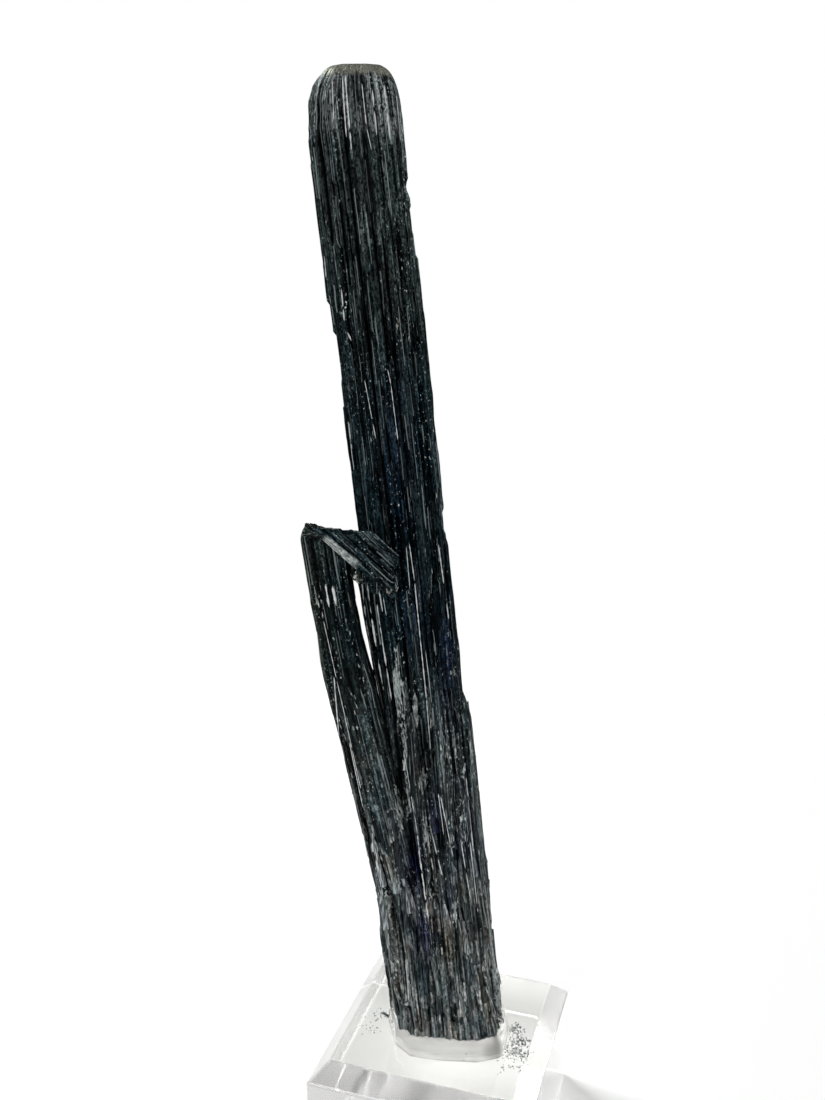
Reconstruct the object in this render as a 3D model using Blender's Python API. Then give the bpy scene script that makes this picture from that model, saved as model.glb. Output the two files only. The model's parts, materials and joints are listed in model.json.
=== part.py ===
"""Stibnite crystal cluster on a clear acrylic display block.

Three intergrown crystals (a tall main prism, a shorter side prism and a stub that lies across both), fused
at the foot, stand on a pad of clear putty on a square block with chamfered top edges. Metres, +Z up, with
the origin at the centre of the block's underside and the block's sides along X and Y.

The crystals are laid out in the specimen's own frame: +X to its right, +Y to its back, +Z up. Its broad
face looks along -Y, and the whole specimen is turned on the block by SPECIMEN_TURN.
"""

import math
import random

import bmesh
import bpy
from mathutils import Matrix, Vector

MM = 0.001

# Display block
BLOCK_SIDE = 38 * MM
BLOCK_HEIGHT = 22 * MM
BLOCK_CHAMFER = 3.2 * MM
BLOCK_EDGE_ROUND = 0.35 * MM

# Putty pad between the block and the foot of the specimen
CONTACT_GAP = 0.3 * MM
PUTTY_THICKNESS = 3.2 * MM
PUTTY_MARGIN = 1.1 * MM

# Specimen
SPECIMEN_TURN = math.radians(17.9)
SPECIMEN_HEIGHT = 180.5 * MM
FOOT_Z = BLOCK_HEIGHT + 2 * CONTACT_GAP + PUTTY_THICKNESS
FLARE_TOP = 84 * MM
ROOT_LEAN = 0.11
RIB_PITCH = 1.25 * MM
RIB_DEPTH = 0.42 * MM

# Main crystal: a flattened prism that leans to the left, fuller towards the foot and domed at the top
MAIN_WIDTH = 14.1 * MM
MAIN_DEPTH = 12.4 * MM
MAIN_TOP_X = -14.75 * MM
MAIN_LEAN = 0.107
MAIN_FLARE = Vector((1.3, 2.7)) * MM
FLARE_FORWARD = 1.5 * MM
DOME_HEIGHT = 6.5 * MM
DOME_FLAT_SHARE = 0.40
DOME_SHIFT = 1.9 * MM

# Side crystal: leans further to the left and ends in a slanted break
SIDE_WIDTH = 7.4 * MM
SIDE_DEPTH = 8.4 * MM
SIDE_Y = -2.8 * MM
SIDE_TIP = Vector((-22.9, -2.8, 113.8)) * MM
SIDE_BREAK_SLOPE = math.radians(24)
SIDE_AXIS = ((24, -3.8), (46, -6.6), (70, -12.1), (91, -16.7), (102, -18.5), (120, -20.9))

# Cross crystal: a stub lying against the side crystal's break and across the main crystal's face
CROSS_DIP = math.radians(43)
CROSS_WIDTH = 6.1 * MM
CROSS_THICKNESS = 5.0 * MM
CROSS_MIDDLE = Vector((-12.75, -6.4, 110.85)) * MM
CROSS_REACH = 11.5 * MM
CROSS_LEVEL_CUT = Vector((0, -8.9, 115.0)) * MM
CROSS_LEVEL_NORMAL = Vector((0, 0.32, 1))
CROSS_END_CUT = Vector((-6.7, 0, 104)) * MM
CROSS_END_NORMAL = Vector((1, -0.25, -0.1))

# Corners of each cross-section, counter-clockwise seen from above, in half widths and half depths
MAIN_CORNERS = [
    (-1.00, 0.20),
    (-0.88, -0.50),
    (-0.46, -0.94),
    (0.36, -1.00),
    (0.86, -0.68),
    (1.00, 0.05),
    (0.78, 0.72),
    (0.10, 1.00),
    (-0.66, 0.80),
]
SIDE_CORNERS = [
    (-1.00, 0.30),
    (-0.66, -0.80),
    (0.10, -1.00),
    (0.92, -0.52),
    (1.00, 0.45),
    (0.20, 1.00),
    (-0.70, 0.86),
]
CROSS_CORNERS = [(-1.00, -0.30), (-0.45, -1.00), (0.70, -0.95), (1.00, 0.10), (0.50, 1.00), (-0.75, 0.80)]
LATH_CORNERS = [(-1.00, 0.10), (-0.45, -0.95), (0.40, -1.00), (1.00, -0.05), (0.50, 1.00), (-0.55, 0.95)]
LUMP_CORNERS = [(-1.00, 0.25), (-0.30, -0.90), (0.75, -0.80), (1.00, 0.30), (0.15, 1.00)]
FOOT_OUTLINE = [
    (-9.4, -1.5),
    (-8.2, -6.6),
    (-6.0, -9.0),
    (0.0, -10.0),
    (5.0, -10.4),
    (8.6, -9.3),
    (9.8, -3.0),
    (8.8, 4.0),
    (4.5, 7.4),
    (-3.0, 7.0),
    (-8.0, 4.5),
]


def clear_scene():
    for obj in list(bpy.data.objects):
        bpy.data.objects.remove(obj, do_unlink=True)


def material(name, colour, roughness, metallic=0.0, transmission=0.0):
    made = bpy.data.materials.new(name)
    made.use_nodes = True
    shader = made.node_tree.nodes["Principled BSDF"]
    shader.inputs["Base Color"].default_value = (*colour, 1.0)
    shader.inputs["Roughness"].default_value = roughness
    shader.inputs["Metallic"].default_value = metallic
    shader.inputs["Transmission Weight"].default_value = transmission
    return made


def loft(name, rings, cuts=()):
    """A closed body through rings of equally many points, cut flat by (point, outward normal) planes."""
    bm = bmesh.new()
    loops = [[bm.verts.new(point) for point in ring] for ring in rings]
    for low, high in zip(loops, loops[1:]):
        for i, j in zip(range(len(low)), [*range(1, len(low)), 0]):
            bm.faces.new((low[i], low[j], high[j], high[i]))
    bm.faces.new(reversed(loops[0]))
    bm.faces.new(loops[-1])
    for point, normal in cuts:
        geometry = [*bm.verts, *bm.edges, *bm.faces]
        bmesh.ops.bisect_plane(bm, geom=geometry, plane_co=point, plane_no=normal, clear_outer=True)
        bmesh.ops.edgeloop_fill(bm, edges=[edge for edge in bm.edges if edge.is_boundary])
    bmesh.ops.recalc_face_normals(bm, faces=bm.faces)
    mesh = bpy.data.meshes.new(name)
    bm.to_mesh(mesh)
    bm.free()
    obj = bpy.data.objects.new(name, mesh)
    bpy.context.scene.collection.objects.link(obj)
    return obj


def between(knots, height):
    """The value at this height on the line through the (height, value) knots, all in mm."""
    for (low, start), (high, end) in zip(knots, knots[1:]):
        if height <= high:
            return start + (end - start) * (height - low) / (high - low)
    return knots[-1][1]


def ribbed_outline(corners, width, depth, rng):
    """Points round a cross-section, with a groove between every two ribs, each with its way out."""
    places = [Vector((x * width / 2, y * depth / 2)) for x, y in corners]
    outline = []
    for start, end in zip(places, places[1:] + places[:1]):
        along = end - start
        outward = Vector((along.y, -along.x)).normalized()
        halves = 2 * max(1, round(along.length / RIB_PITCH))
        for i in range(halves):
            cut = RIB_DEPTH * (rng.uniform(0.55, 1.0) if i % 2 else rng.uniform(0.0, 0.25))
            outline.append((start + along * (i / halves) - outward * cut, outward))
    return outline


def ribbed_ring(outline, centre, scale, roughness, rng):
    """The ribbed outline moved to a centre and scaled, with each rib worn by up to roughness."""
    ring = []
    for point, outward in outline:
        moved = Vector((point.x * scale[0], point.y * scale[1])) + outward * rng.uniform(-roughness, 0)
        ring.append(centre + moved.to_3d())
    return ring


def main_axis_x(height):
    return MAIN_TOP_X + MAIN_LEAN * (SPECIMEN_HEIGHT - height)


def flare(height):
    """0 on the even upper part of the specimen, rising smoothly to 1 at its foot."""
    share = max(0.0, (FLARE_TOP - height) / (FLARE_TOP - FOOT_Z))
    return share * share * (3 - 2 * share) if share < 1 else 1.0


def main_crystal():
    rng = random.Random(11)
    outline = ribbed_outline(MAIN_CORNERS, MAIN_WIDTH, MAIN_DEPTH, rng)
    dome_base = SPECIMEN_HEIGHT - DOME_HEIGHT
    steps = 16
    rings = []
    for i in range(steps + 1):
        height = FOOT_Z - 1 * MM + (dome_base - FOOT_Z + 1 * MM) * i / steps
        full = flare(height)
        scale = (1 + 2 * MAIN_FLARE.x / MAIN_WIDTH * full, 1 + 2 * MAIN_FLARE.y / MAIN_DEPTH * full)
        centre = Vector((main_axis_x(height), -FLARE_FORWARD * full, height))
        rings.append(ribbed_ring(outline, centre, scale, (0.12 + 0.34 * full) * MM, rng))
    for i in range(1, 6):
        turn = math.radians(90) * i / 5
        height = dome_base + DOME_HEIGHT * math.sin(turn)
        share = DOME_FLAT_SHARE + (1 - DOME_FLAT_SHARE) * math.cos(turn) ** 0.8
        centre = Vector((main_axis_x(height) + DOME_SHIFT * (1 - share), 0.0, height))
        rings.append(ribbed_ring(outline, centre, (share, share), 0.1 * MM, rng))
    return loft("main_crystal", rings, [(Vector((0, 0, FOOT_Z)), Vector((0, 0, -1)))])


def root():
    """The rounded foot in which all the crystals run together, thinning out upward inside them."""
    rng = random.Random(31)
    outline = ribbed_outline(FOOT_OUTLINE, 2 * MM, 2 * MM, rng)
    rings = []
    for rise, share in ((0, 1.0), (5, 0.99), (11, 0.95), (18, 0.88), (26, 0.76)):
        centre = Vector((-ROOT_LEAN * rise * MM, 0, FOOT_Z + rise * MM))
        rings.append(ribbed_ring(outline, centre, (share, share), 0.4 * MM, rng))
    return loft("root", rings)


def side_crystal():
    """Fused to the main crystal below and free above."""
    rng = random.Random(5)
    outline = ribbed_outline(SIDE_CORNERS, SIDE_WIDTH, SIDE_DEPTH, rng)
    rings = []
    for i in range(12):
        height = FOOT_Z - 1 * MM + (SIDE_TIP.z + 4 * MM - FOOT_Z) * i / 11
        full = flare(height)
        centre = Vector((between(SIDE_AXIS, height / MM) * MM, SIDE_Y, height))
        scale = (1 + 0.42 * full, 1 + 0.30 * full)
        rings.append(ribbed_ring(outline, centre, scale, (0.15 + 0.30 * full) * MM, rng))
    break_normal = Vector((math.sin(SIDE_BREAK_SLOPE), -0.2, math.cos(SIDE_BREAK_SLOPE)))
    cuts = [(Vector((0, 0, FOOT_Z)), Vector((0, 0, -1))), (SIDE_TIP, break_normal)]
    return loft("side_crystal", rings, cuts)


def cross_crystal():
    """Its length dips to the right; its upper end is cut level and its lower end is broken off upright."""
    rng = random.Random(23)
    outline = ribbed_outline(CROSS_CORNERS, CROSS_WIDTH, CROSS_THICKNESS, rng)
    rings = []
    for i in range(7):
        centre = Vector((0, 0, CROSS_REACH * (i - 3) / 3))
        rings.append(ribbed_ring(outline, centre, (1, 1), 0.12 * MM, rng))
    lay_down = Matrix.Rotation(-(math.radians(90) - CROSS_DIP), 4, "Y")
    for ring in rings:
        for point in ring:
            point.xyz = CROSS_MIDDLE + lay_down @ point
    cuts = [(CROSS_LEVEL_CUT, CROSS_LEVEL_NORMAL), (CROSS_END_CUT, CROSS_END_NORMAL)]
    return loft("cross_crystal", rings, cuts)


def lath(name, low, high, width, depth, seed):
    """A strip of crystal grown on a larger one, from its low end to its high end, narrowed at both."""
    rng = random.Random(seed)
    low, high = Vector(low) * MM, Vector(high) * MM
    rings = []
    for share, fill in ((0.0, 0.45), (0.06, 0.95), (0.5, 1.0), (0.93, 0.9), (1.0, 0.4)):
        centre = low.lerp(high, share)
        ring = []
        for x, y in LATH_CORNERS:
            reach = rng.uniform(0.88, 1.12) * fill * MM / 2
            ring.append(centre + Vector((x * width * reach, y * depth * reach, 0)))
        rings.append(ring)
    return loft(name, rings, [(Vector((0, 0, FOOT_Z)), Vector((0, 0, -1)))] if low.z < FOOT_Z else [])


def laths():
    """The strips that stand proud of the main and side crystals: (low end, high end, width, depth) in mm."""
    foot = FOOT_Z / MM - 6
    strips = [
        ((8.0, -2.2, foot), (2.0, -0.2, 85.0), 3.8, 9.0),
        ((7.0, -7.6, foot), (1.2, -5.2, 73.0), 3.6, 4.4),
        ((3.0, -8.6, foot), (-2.6, -5.9, 92.0), 3.0, 3.4),
        ((-1.2, -8.4, foot), (-6.2, -5.8, 84.0), 2.6, 3.2),
        ((-5.0, -7.0, foot), (-9.4, -5.4, 66.0), 4.4, 4.6),
        ((-7.0, -2.2, foot), (-11.8, -3.0, 58.0), 3.4, 5.0),
        ((1.4, 6.0, foot), (-6.0, 5.5, 96.0), 4.2, 3.4),
        ((-3.4, 5.0, foot), (-9.4, 4.6, 76.0), 3.4, 3.4),
        ((5.6, 4.6, foot), (-1.6, 4.4, 110.0), 3.4, 3.2),
        ((-3.2, -5.7, 104.0), (-9.8, -5.6, 163.0), 2.4, 1.6),
        ((-10.8, 5.4, 118.0), (-14.6, 5.2, 168.0), 3.2, 1.8),
        ((-2.0, -2.6, 115.5), (-7.6, -2.6, 165.0), 2.4, 3.4),
        ((-8.2, -0.6, 76.0), (-12.7, -0.4, 112.0), 2.2, 4.0),
        ((-11.2, -4.6, 122.0), (-14.6, -4.4, 160.0), 2.4, 1.8),
        ((2.0, -1.0, 80.0), (-1.3, -1.0, 113.0), 2.4, 4.0),
    ]
    return [
        lath(f"lath_{i}", low, high, width, depth, 40 + i)
        for i, (low, high, width, depth) in enumerate(strips)
    ]


def lump(name, centre, size, seed):
    """A small angular lump stuck to the crystals."""
    rng = random.Random(seed)
    rings = []
    for share, fill in ((-0.5, 0.55), (-0.1, 1.0), (0.35, 0.85), (0.5, 0.4)):
        ring = []
        for x, y in LUMP_CORNERS:
            reach = rng.uniform(0.8, 1.15) * fill * size / 2
            place = Vector((centre[0] + x * reach, centre[1] + y * reach, centre[2] + share * size))
            ring.append(place * MM)
        rings.append(ring)
    return loft(name, rings)


def lumps():
    """Crumbly lumps round the cross crystal and a ledge on the right edge: (centre, size) in mm."""
    places = [((-9.6, -7.0, 104.2), 3.6), ((-15.0, -5.4, 105.4), 3.0), ((-7.2, -1.8, 165.6), 2.2)]
    return [lump(f"lump_{i}", centre, size, 70 + i) for i, (centre, size) in enumerate(places)]


def specimen():
    """The three crystals with their laths and lumps, joined into the one piece that they grew as."""
    body = main_crystal()
    body.name = "stibnite_crystals"
    body.data.materials.append(material("stibnite", (0.030, 0.036, 0.042), 0.38, metallic=0.35))
    others = [root(), side_crystal(), cross_crystal(), *laths(), *lumps()]
    turn = Matrix.Rotation(SPECIMEN_TURN, 4, "Z")
    for obj in [body, *others]:
        obj.data.transform(turn)
    grown_together = bpy.data.collections.new("grown_together")
    bpy.context.scene.collection.children.link(grown_together)
    for other in others:
        bpy.context.scene.collection.objects.unlink(other)
        grown_together.objects.link(other)
        other.hide_render = True
        other.display_type = "WIRE"
    join = body.modifiers.new("grown together", "BOOLEAN")
    join.operation = "UNION"
    join.solver = "EXACT"
    join.operand_type = "COLLECTION"
    join.collection = grown_together
    return body


def putty_pad():
    """A cushion of clear putty that follows the outline of the foot and is pressed out a little past it."""
    corners = [Vector(corner) * MM for corner in FOOT_OUTLINE]
    middle = sum(corners, Vector((0, 0))) / len(corners)
    smooth = []
    for i, corner in enumerate(corners):
        before, after = corners[i - 1], corners[(i + 1) % len(corners)]
        smooth += [corner.lerp(before, 0.22), corner.lerp(after, 0.22)]
    rings = []
    for rise, margin in ((0.0, 0.80), (0.12, 1.0), (0.5, 0.85), (0.88, 0.62), (1.0, 0.1)):
        ring = []
        for point in smooth:
            way_out = (point - middle).normalized()
            moved = point + way_out * PUTTY_MARGIN * margin
            ring.append(moved.to_3d() + Vector((0, 0, BLOCK_HEIGHT + CONTACT_GAP + rise * PUTTY_THICKNESS)))
        rings.append(ring)
    pad = loft("mounting_putty", rings)
    pad.data.materials.append(material("clear_putty", (0.82, 0.82, 0.78), 0.25, transmission=0.8))
    pad.data.transform(Matrix.Rotation(SPECIMEN_TURN, 4, "Z"))
    return pad


def display_block():
    """A square acrylic block: upright sides, a flat top inside a 45 degree chamfer, and eased edges."""
    half = BLOCK_SIDE / 2
    corners = [(-half, -half), (half, -half), (half, half), (-half, half)]
    top_share = (half - BLOCK_CHAMFER) / half
    rings = []
    for z, share in ((0.0, 1.0), (BLOCK_HEIGHT - BLOCK_CHAMFER, 1.0), (BLOCK_HEIGHT, top_share)):
        rings.append([Vector((x * share, y * share, z)) for x, y in corners])
    block = loft("acrylic_block", rings)
    block.data.materials.append(material("clear_acrylic", (0.93, 0.95, 0.95), 0.03, transmission=1.0))
    ease = block.modifiers.new("eased edges", "BEVEL")
    ease.width = BLOCK_EDGE_ROUND
    ease.segments = 2
    ease.limit_method = "ANGLE"
    return block


clear_scene()
specimen()
putty_pad()
display_block()
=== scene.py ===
import json
import math
import random

import bpy
import numpy as np
from mathutils import Matrix, Vector
from mathutils.bvhtree import BVHTree

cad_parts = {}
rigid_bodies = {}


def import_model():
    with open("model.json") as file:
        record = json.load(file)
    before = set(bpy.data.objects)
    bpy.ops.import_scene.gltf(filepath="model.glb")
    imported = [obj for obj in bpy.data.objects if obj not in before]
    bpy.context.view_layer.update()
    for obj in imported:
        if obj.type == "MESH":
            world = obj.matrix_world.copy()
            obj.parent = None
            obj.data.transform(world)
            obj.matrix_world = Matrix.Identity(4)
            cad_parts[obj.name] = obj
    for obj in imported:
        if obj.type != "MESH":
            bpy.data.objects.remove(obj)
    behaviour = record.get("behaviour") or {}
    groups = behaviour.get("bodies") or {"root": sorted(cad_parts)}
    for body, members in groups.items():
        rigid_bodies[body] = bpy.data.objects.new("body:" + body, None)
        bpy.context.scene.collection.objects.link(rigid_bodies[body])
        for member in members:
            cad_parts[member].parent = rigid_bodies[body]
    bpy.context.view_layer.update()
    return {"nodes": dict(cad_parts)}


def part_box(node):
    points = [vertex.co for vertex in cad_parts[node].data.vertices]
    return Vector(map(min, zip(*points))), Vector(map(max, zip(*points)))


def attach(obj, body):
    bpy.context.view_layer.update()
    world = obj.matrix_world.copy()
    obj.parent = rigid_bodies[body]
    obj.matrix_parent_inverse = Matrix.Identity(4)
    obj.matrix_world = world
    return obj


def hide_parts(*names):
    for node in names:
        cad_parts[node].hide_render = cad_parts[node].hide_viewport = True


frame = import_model()

# --------------------------------------------------------------------------------------------------
# Acrylic block. A square block of clear cast acrylic (PMMA), sawn and then diamond-polished on every
# face, with a 45 degree chamfer milled round its top. It carries everything else. The CAD solid
# keeps its own shape.
# --------------------------------------------------------------------------------------------------
MM = 0.001
ACRYLIC_TINT = "#fdfdfb"
ACRYLIC_IOR = 1.49
POLISHED_ROUGHNESS, SAWN_ROUGHNESS = 0.012, 0.13
SAWN_UP_TO = 0.3 * MM


def srgb(hex_colour):
    """The linear colour of an sRGB hex value."""
    channels = [int(hex_colour[i:i + 2], 16) / 255 for i in (1, 3, 5)]
    return (*[c / 12.92 if c <= 0.04045 else ((c + 0.055) / 1.055) ** 2.4 for c in channels], 1.0)


def node(tree, kind, stops=(), **given):
    """Adds a node and returns it. Each thing given is one of its settings or, named with a capital
    or numbered as i0, one of its inputs, which takes a value, a socket or a node's first output. The
    stops are a ramp's (position, hex colour) pairs."""
    made = tree.nodes.new(kind if "Node" in kind else f"ShaderNode{kind}")
    while stops and len(made.color_ramp.elements) < len(stops):
        made.color_ramp.elements.new(1.0)
    for element, (position, colour) in zip(made.color_ramp.elements if stops else (), stops):
        element.position = position
        element.color = srgb(colour)
    inputs = {}
    for name, value in given.items():
        if hasattr(made, name):
            setattr(made, name, value)
        else:
            inputs[int(name[1:]) if name[1:].isdigit() else name.replace("_", " ")] = value
    for name, value in inputs.items():
        if isinstance(value, bpy.types.Node):
            value = value.outputs[0]
        if isinstance(value, bpy.types.NodeSocket):
            tree.links.new(value, made.inputs[name])
        else:
            made.inputs[name].default_value = value
    return made


def new_material(name):
    """An empty node material and its tree."""
    made = bpy.data.materials.new(name)
    made.use_nodes = True
    made.node_tree.nodes.clear()
    return made, made.node_tree


# Polished cast acrylic: clear to the eye, bending light a little less than glass, with faint
# polishing marks, drawn 1 mm wide so that they show, and a sawn, slightly blurred edge at the very
# bottom.
acrylic, tree = new_material("cast_acrylic_polished")
coords = node(tree, "TexCoord").outputs["Object"]
polish = node(tree, "TexNoise", i0=coords, Scale=900.0, Detail=2.0)
height = node(tree, "SeparateXYZ", Vector=coords).outputs["Z"]
sawn = node(tree, "MapRange", Value=height, From_Min=0.05 * MM, From_Max=SAWN_UP_TO,
            To_Min=SAWN_ROUGHNESS, To_Max=POLISHED_ROUGHNESS)
marks = node(tree, "Bump", Strength=0.02, Distance=0.02 * MM, Height=polish)
shader = node(tree, "BsdfPrincipled", Base_Color=srgb(ACRYLIC_TINT), Roughness=sawn, IOR=ACRYLIC_IOR,
              Transmission_Weight=1.0, Normal=marks)
node(tree, "OutputMaterial", Surface=shader)
block = frame["nodes"]["acrylic_block"]
block.data.materials.clear()
block.data.materials.append(acrylic)
BLOCK_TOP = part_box("acrylic_block")[1].z / MM

# --------------------------------------------------------------------------------------------------
# Mounting putty. A cake of clear silicone putty, pressed on to the block and squeezed out a little
# when the specimen's foot was pushed into it. It replaces the CAD pad and closes the gaps above and
# below.
# --------------------------------------------------------------------------------------------------
SPECIMEN_TURN = math.radians(17.9)
FOOT_OUTLINE = [
    (-9.4, -1.5), (-8.2, -6.6), (-6.0, -9.0), (0.0, -10.0), (5.0, -10.4), (8.6, -9.3), (9.8, -3.0),
    (8.8, 4.0), (4.5, 7.4), (-3.0, 7.0), (-8.0, 4.5),
]
PUTTY_MARGIN = 1.1
PUTTY_PROFILE = [
    (0.0, 0.55), (0.02, 0.80), (0.14, 0.98), (0.38, 1.0), (0.62, 0.92), (0.84, 0.76), (0.96, 0.50),
    (1.06, 0.12), (1.05, -0.6), (0.98, -2.0),
]
turn = Matrix.Rotation(SPECIMEN_TURN, 4, "Z")
FOOT_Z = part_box("stibnite_crystals")[0].z / MM


def walk_round(corners, spacing, blend):
    """Even places round a closed outline, the way out at each, turned smoothly past corners, and
    their distances along it."""
    corners = np.array(corners, float)
    sides = np.roll(corners, -1, axis=0) - corners
    lengths = np.linalg.norm(sides, axis=1)
    outward = np.stack([sides[:, 1], -sides[:, 0]], axis=1) / lengths[:, None]
    starts = np.concatenate([[0], np.cumsum(lengths)])
    count = round(starts[-1] / spacing)
    distances = starts[-1] * np.arange(count) / count
    side = np.searchsorted(starts, distances, side="right") - 1
    past, ahead = distances - starts[side], starts[side + 1] - distances
    places = corners[side] + sides[side] * (past / lengths[side])[:, None]
    other = np.where(past < ahead, side - 1, (side + 1) % len(corners))
    near = np.clip(1 - np.minimum(past, ahead) / blend, 0, 1)
    ways = outward[side] + outward[other] * near[:, None]
    return places, ways / np.linalg.norm(ways, axis=1)[:, None], distances


def tube_faces(rows, columns):
    """Quads round and up a grid of rows, each a closed ring of columns."""
    starts = np.arange(rows - 1)[:, None] * columns
    low = (starts + np.arange(columns)).reshape(-1)
    turned = (starts + (np.arange(columns) + 1) % columns).reshape(-1)
    return np.stack([low, turned, turned + columns, low + columns], axis=1).tolist()


def mesh_object(name, points, faces, material):
    """A mesh object in the scene, from points in millimetres."""
    mesh = bpy.data.meshes.new(name)
    mesh.from_pydata((np.asarray(points) * MM).tolist(), [], faces)
    mesh.materials.append(material)
    obj = bpy.data.objects.new(name, mesh)
    bpy.context.scene.collection.objects.link(obj)
    return obj


# Clear silicone: soft to the light, with a matte skin dented by fingers every 2 mm or so, and a
# slightly milky body.
silicone, tree = new_material("clear_silicone_putty")
coords = node(tree, "TexCoord").outputs["Object"]
dents = node(tree, "TexNoise", i0=coords, Scale=420.0, Detail=3.0)
dented = node(tree, "Bump", Strength=0.35, Distance=0.2 * MM, Height=dents)
shader = node(tree, "BsdfPrincipled", Base_Color=srgb("#f7f7f4"), Roughness=0.18, IOR=1.41,
              Transmission_Weight=0.94, Normal=dented)
node(tree, "OutputMaterial", Surface=shader)

places, ways, distances = walk_round(FOOT_OUTLINE, 0.5, 2.4)
rng = random.Random(4)
squeeze = sum(
    0.16 * np.sin((k + 2) * math.tau * distances / distances[-1] + rng.uniform(0, 6))
    for k in range(3)
)
bottom = BLOCK_TOP + 0.02
thin = np.interp(places[:, 0], (-8.5, -3.5), (0.45, 1.0))
points = []
for rise, reach in PUTTY_PROFILE:
    swell = (PUTTY_MARGIN * reach + squeeze * min(1.0, max(reach, 0))) * thin
    level = np.full(len(places), bottom + rise * (FOOT_Z - bottom))
    points.append(np.column_stack([places + ways * swell[:, None], level]))
columns = len(places)
faces = tube_faces(len(points), columns)
faces.append(list(reversed(range(columns))))
faces.append(list(range((len(points) - 1) * columns, len(points) * columns)))
putty = mesh_object("putty_pad", np.concatenate(points), faces, silicone)
putty.data.transform(turn)
putty.data.shade_smooth()
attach(putty, "root")
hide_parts("mounting_putty")


# --------------------------------------------------------------------------------------------------
# Main crystal. Stibnite, antimony sulphide, grown as a tall prism whose faces are built of parallel
# strips that end in small steps; even and ribbed above, fuller and rougher below, its worn top
# rounded. Tarnished nearly black.
# --------------------------------------------------------------------------------------------------
# Places and sizes are in millimetres in the specimen's own frame, before its turn, and outlines are
# in shares of a half width.
TOP_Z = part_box("stibnite_crystals")[1].z / MM
MAIN_HALF = (7.05, 6.2)
MAIN_CORNERS = [
    (-1.00, 0.20), (-0.88, -0.50), (-0.46, -0.94), (0.36, -1.00), (0.86, -0.68), (1.00, 0.05),
    (0.78, 0.72), (0.10, 1.00), (-0.66, 0.80),
]
MAIN_TOP_X, MAIN_LEAN = -14.75, 0.107
MAIN_ROWS, DOME_ROWS = 262, 14
FLARE_TOP = 84.0
MAIN_FLARE, MAIN_FLARE_FORWARD = (1.5, 2.9), 1.5
DOME_HEIGHT, DOME_FLAT, DOME_SHIFT = 6.5, 0.42, 2.2
# What shows in patches on the skins: each place's x, y and z, its radius and half height, and how
# strongly it shows there.
PATCHES = {
    "crust": [
        (-9.5, -7, 105.0, 1.1, 0.8, 0.9), (-14.6, -6, 106.8, 0.8, 0.9, 0.8),
        (-8.1, -6, 144.7, 0.6, 1.2, 0.7), (4.9, -4, 73.3, 0.8, 2, 0.6),
        (1.4, -5, 90.6, 0.6, 1.2, 0.6), (-18.8, -4, 176.4, 0.6, 0.5, 0.6),
        (-17.6, -4, 178.2, 0.7, 0.4, 0.7), (-15.8, -4, 178.9, 0.8, 0.3, 0.6),
        (-9.2, -4, 178.0, 0.7, 0.5, 0.6), (-8.0, -4, 176.3, 0.4, 0.8, 0.6),
        (3.4, 6, 120, 1.0, 6, 0.6), (-8.0, 6, 96, 0.9, 5, 0.7),
    ],
    "bare": [
        (-8.4, -6, 87, 0.9, 7, 1.0), (-7.4, -6, 80, 0.8, 6, 0.8), (-5.3, -6, 84.5, 0.5, 3.0, 1.0),
        (-7.5, -7, 67.9, 1.0, 5, 0.9), (-4.2, -7, 72.3, 0.8, 2.5, 0.8),
        (-3.2, -8, 62.5, 0.8, 4, 0.7), (-10.5, -7, 50.3, 1.4, 3, 0.8), (-9.4, -6, 36, 1.6, 7, 0.7),
        (-20.2, -6, 103.2, 0.45, 2.2, 1.0), (-19.1, -6, 102.9, 0.40, 2.2, 0.9),
        (-16.6, -3, 82.0, 0.9, 4.5, 0.7), (-15.6, -3, 77.0, 0.8, 4, 0.6),
        (4.0, -4, 78, 0.6, 4, 0.7), (1.3, -9, 49.5, 0.6, 3, 0.9), (-10.5, -5, 49.9, 0.8, 0.9, 1.0),
        (-6.6, -8, 35.5, 0.5, 5, 0.8), (3.2, -9, 35.8, 0.5, 1.6, 0.9),
        (-1.4, -9, 28.5, 0.6, 1.8, 0.9), (3.6, -9, 29.5, 0.5, 1.8, 0.8), (3.6, 6, 70, 1.0, 9, 0.7),
        (-4.5, 7, 52, 1.2, 8, 0.7), (0.6, -8, 76.5, 3.6, 7, 0.34), (3.0, -8, 66, 2.8, 7, 0.30),
        (-8.5, -8, 60, 3.0, 9, 0.24), (-3.0, -8, 50, 4.0, 7, 0.26), (-15.5, -4, 86, 2.2, 9, 0.22),
        (1.0, 7, 74, 5.0, 14, 0.30),
    ],
    "navy": [
        (-5.6, -8, 58.0, 1.6, 7, 1.0), (0.6, -8, 52.2, 1.4, 4.5, 0.9),
        (-4.1, -8, 45.2, 1.8, 4, 0.9), (-5.4, -6, 99.8, 2.0, 7, 0.35),
        (-8.0, -6, 128, 3.0, 14, 0.25), (-2.0, 6, 84, 2.6, 12, 0.5), (3.0, -6, 61, 1.6, 8, 0.6),
        (-1.6, -8, 67, 1.5, 5, 0.6), (0.2, -6, 92, 1.6, 8, 0.5),
    ],
    "olive": [
        (0.5, -9, 40.6, 2.6, 5, 0.9), (-10.1, -4, 44.4, 2.2, 6, 1.0), (3.4, -9, 51.0, 1.9, 6, 0.8),
        (-7.0, -8, 37.6, 1.8, 5, 0.7), (6.8, -8, 34.6, 2.6, 5, 0.9),
        (-16.9, -8, 112.8, 1.0, 1.2, 1.0), (-15.2, -8, 111.2, 1.0, 1.2, 0.9),
        (-14.2, -6, 107.0, 1.4, 1.8, 1.0), (-22.5, -3, 98, 3.4, 22, 1.0),
        (-17.0, -4, 72, 3.0, 18, 0.9), (-8, -6, 152, 5, 12, 0.25),
    ],
}
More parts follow.
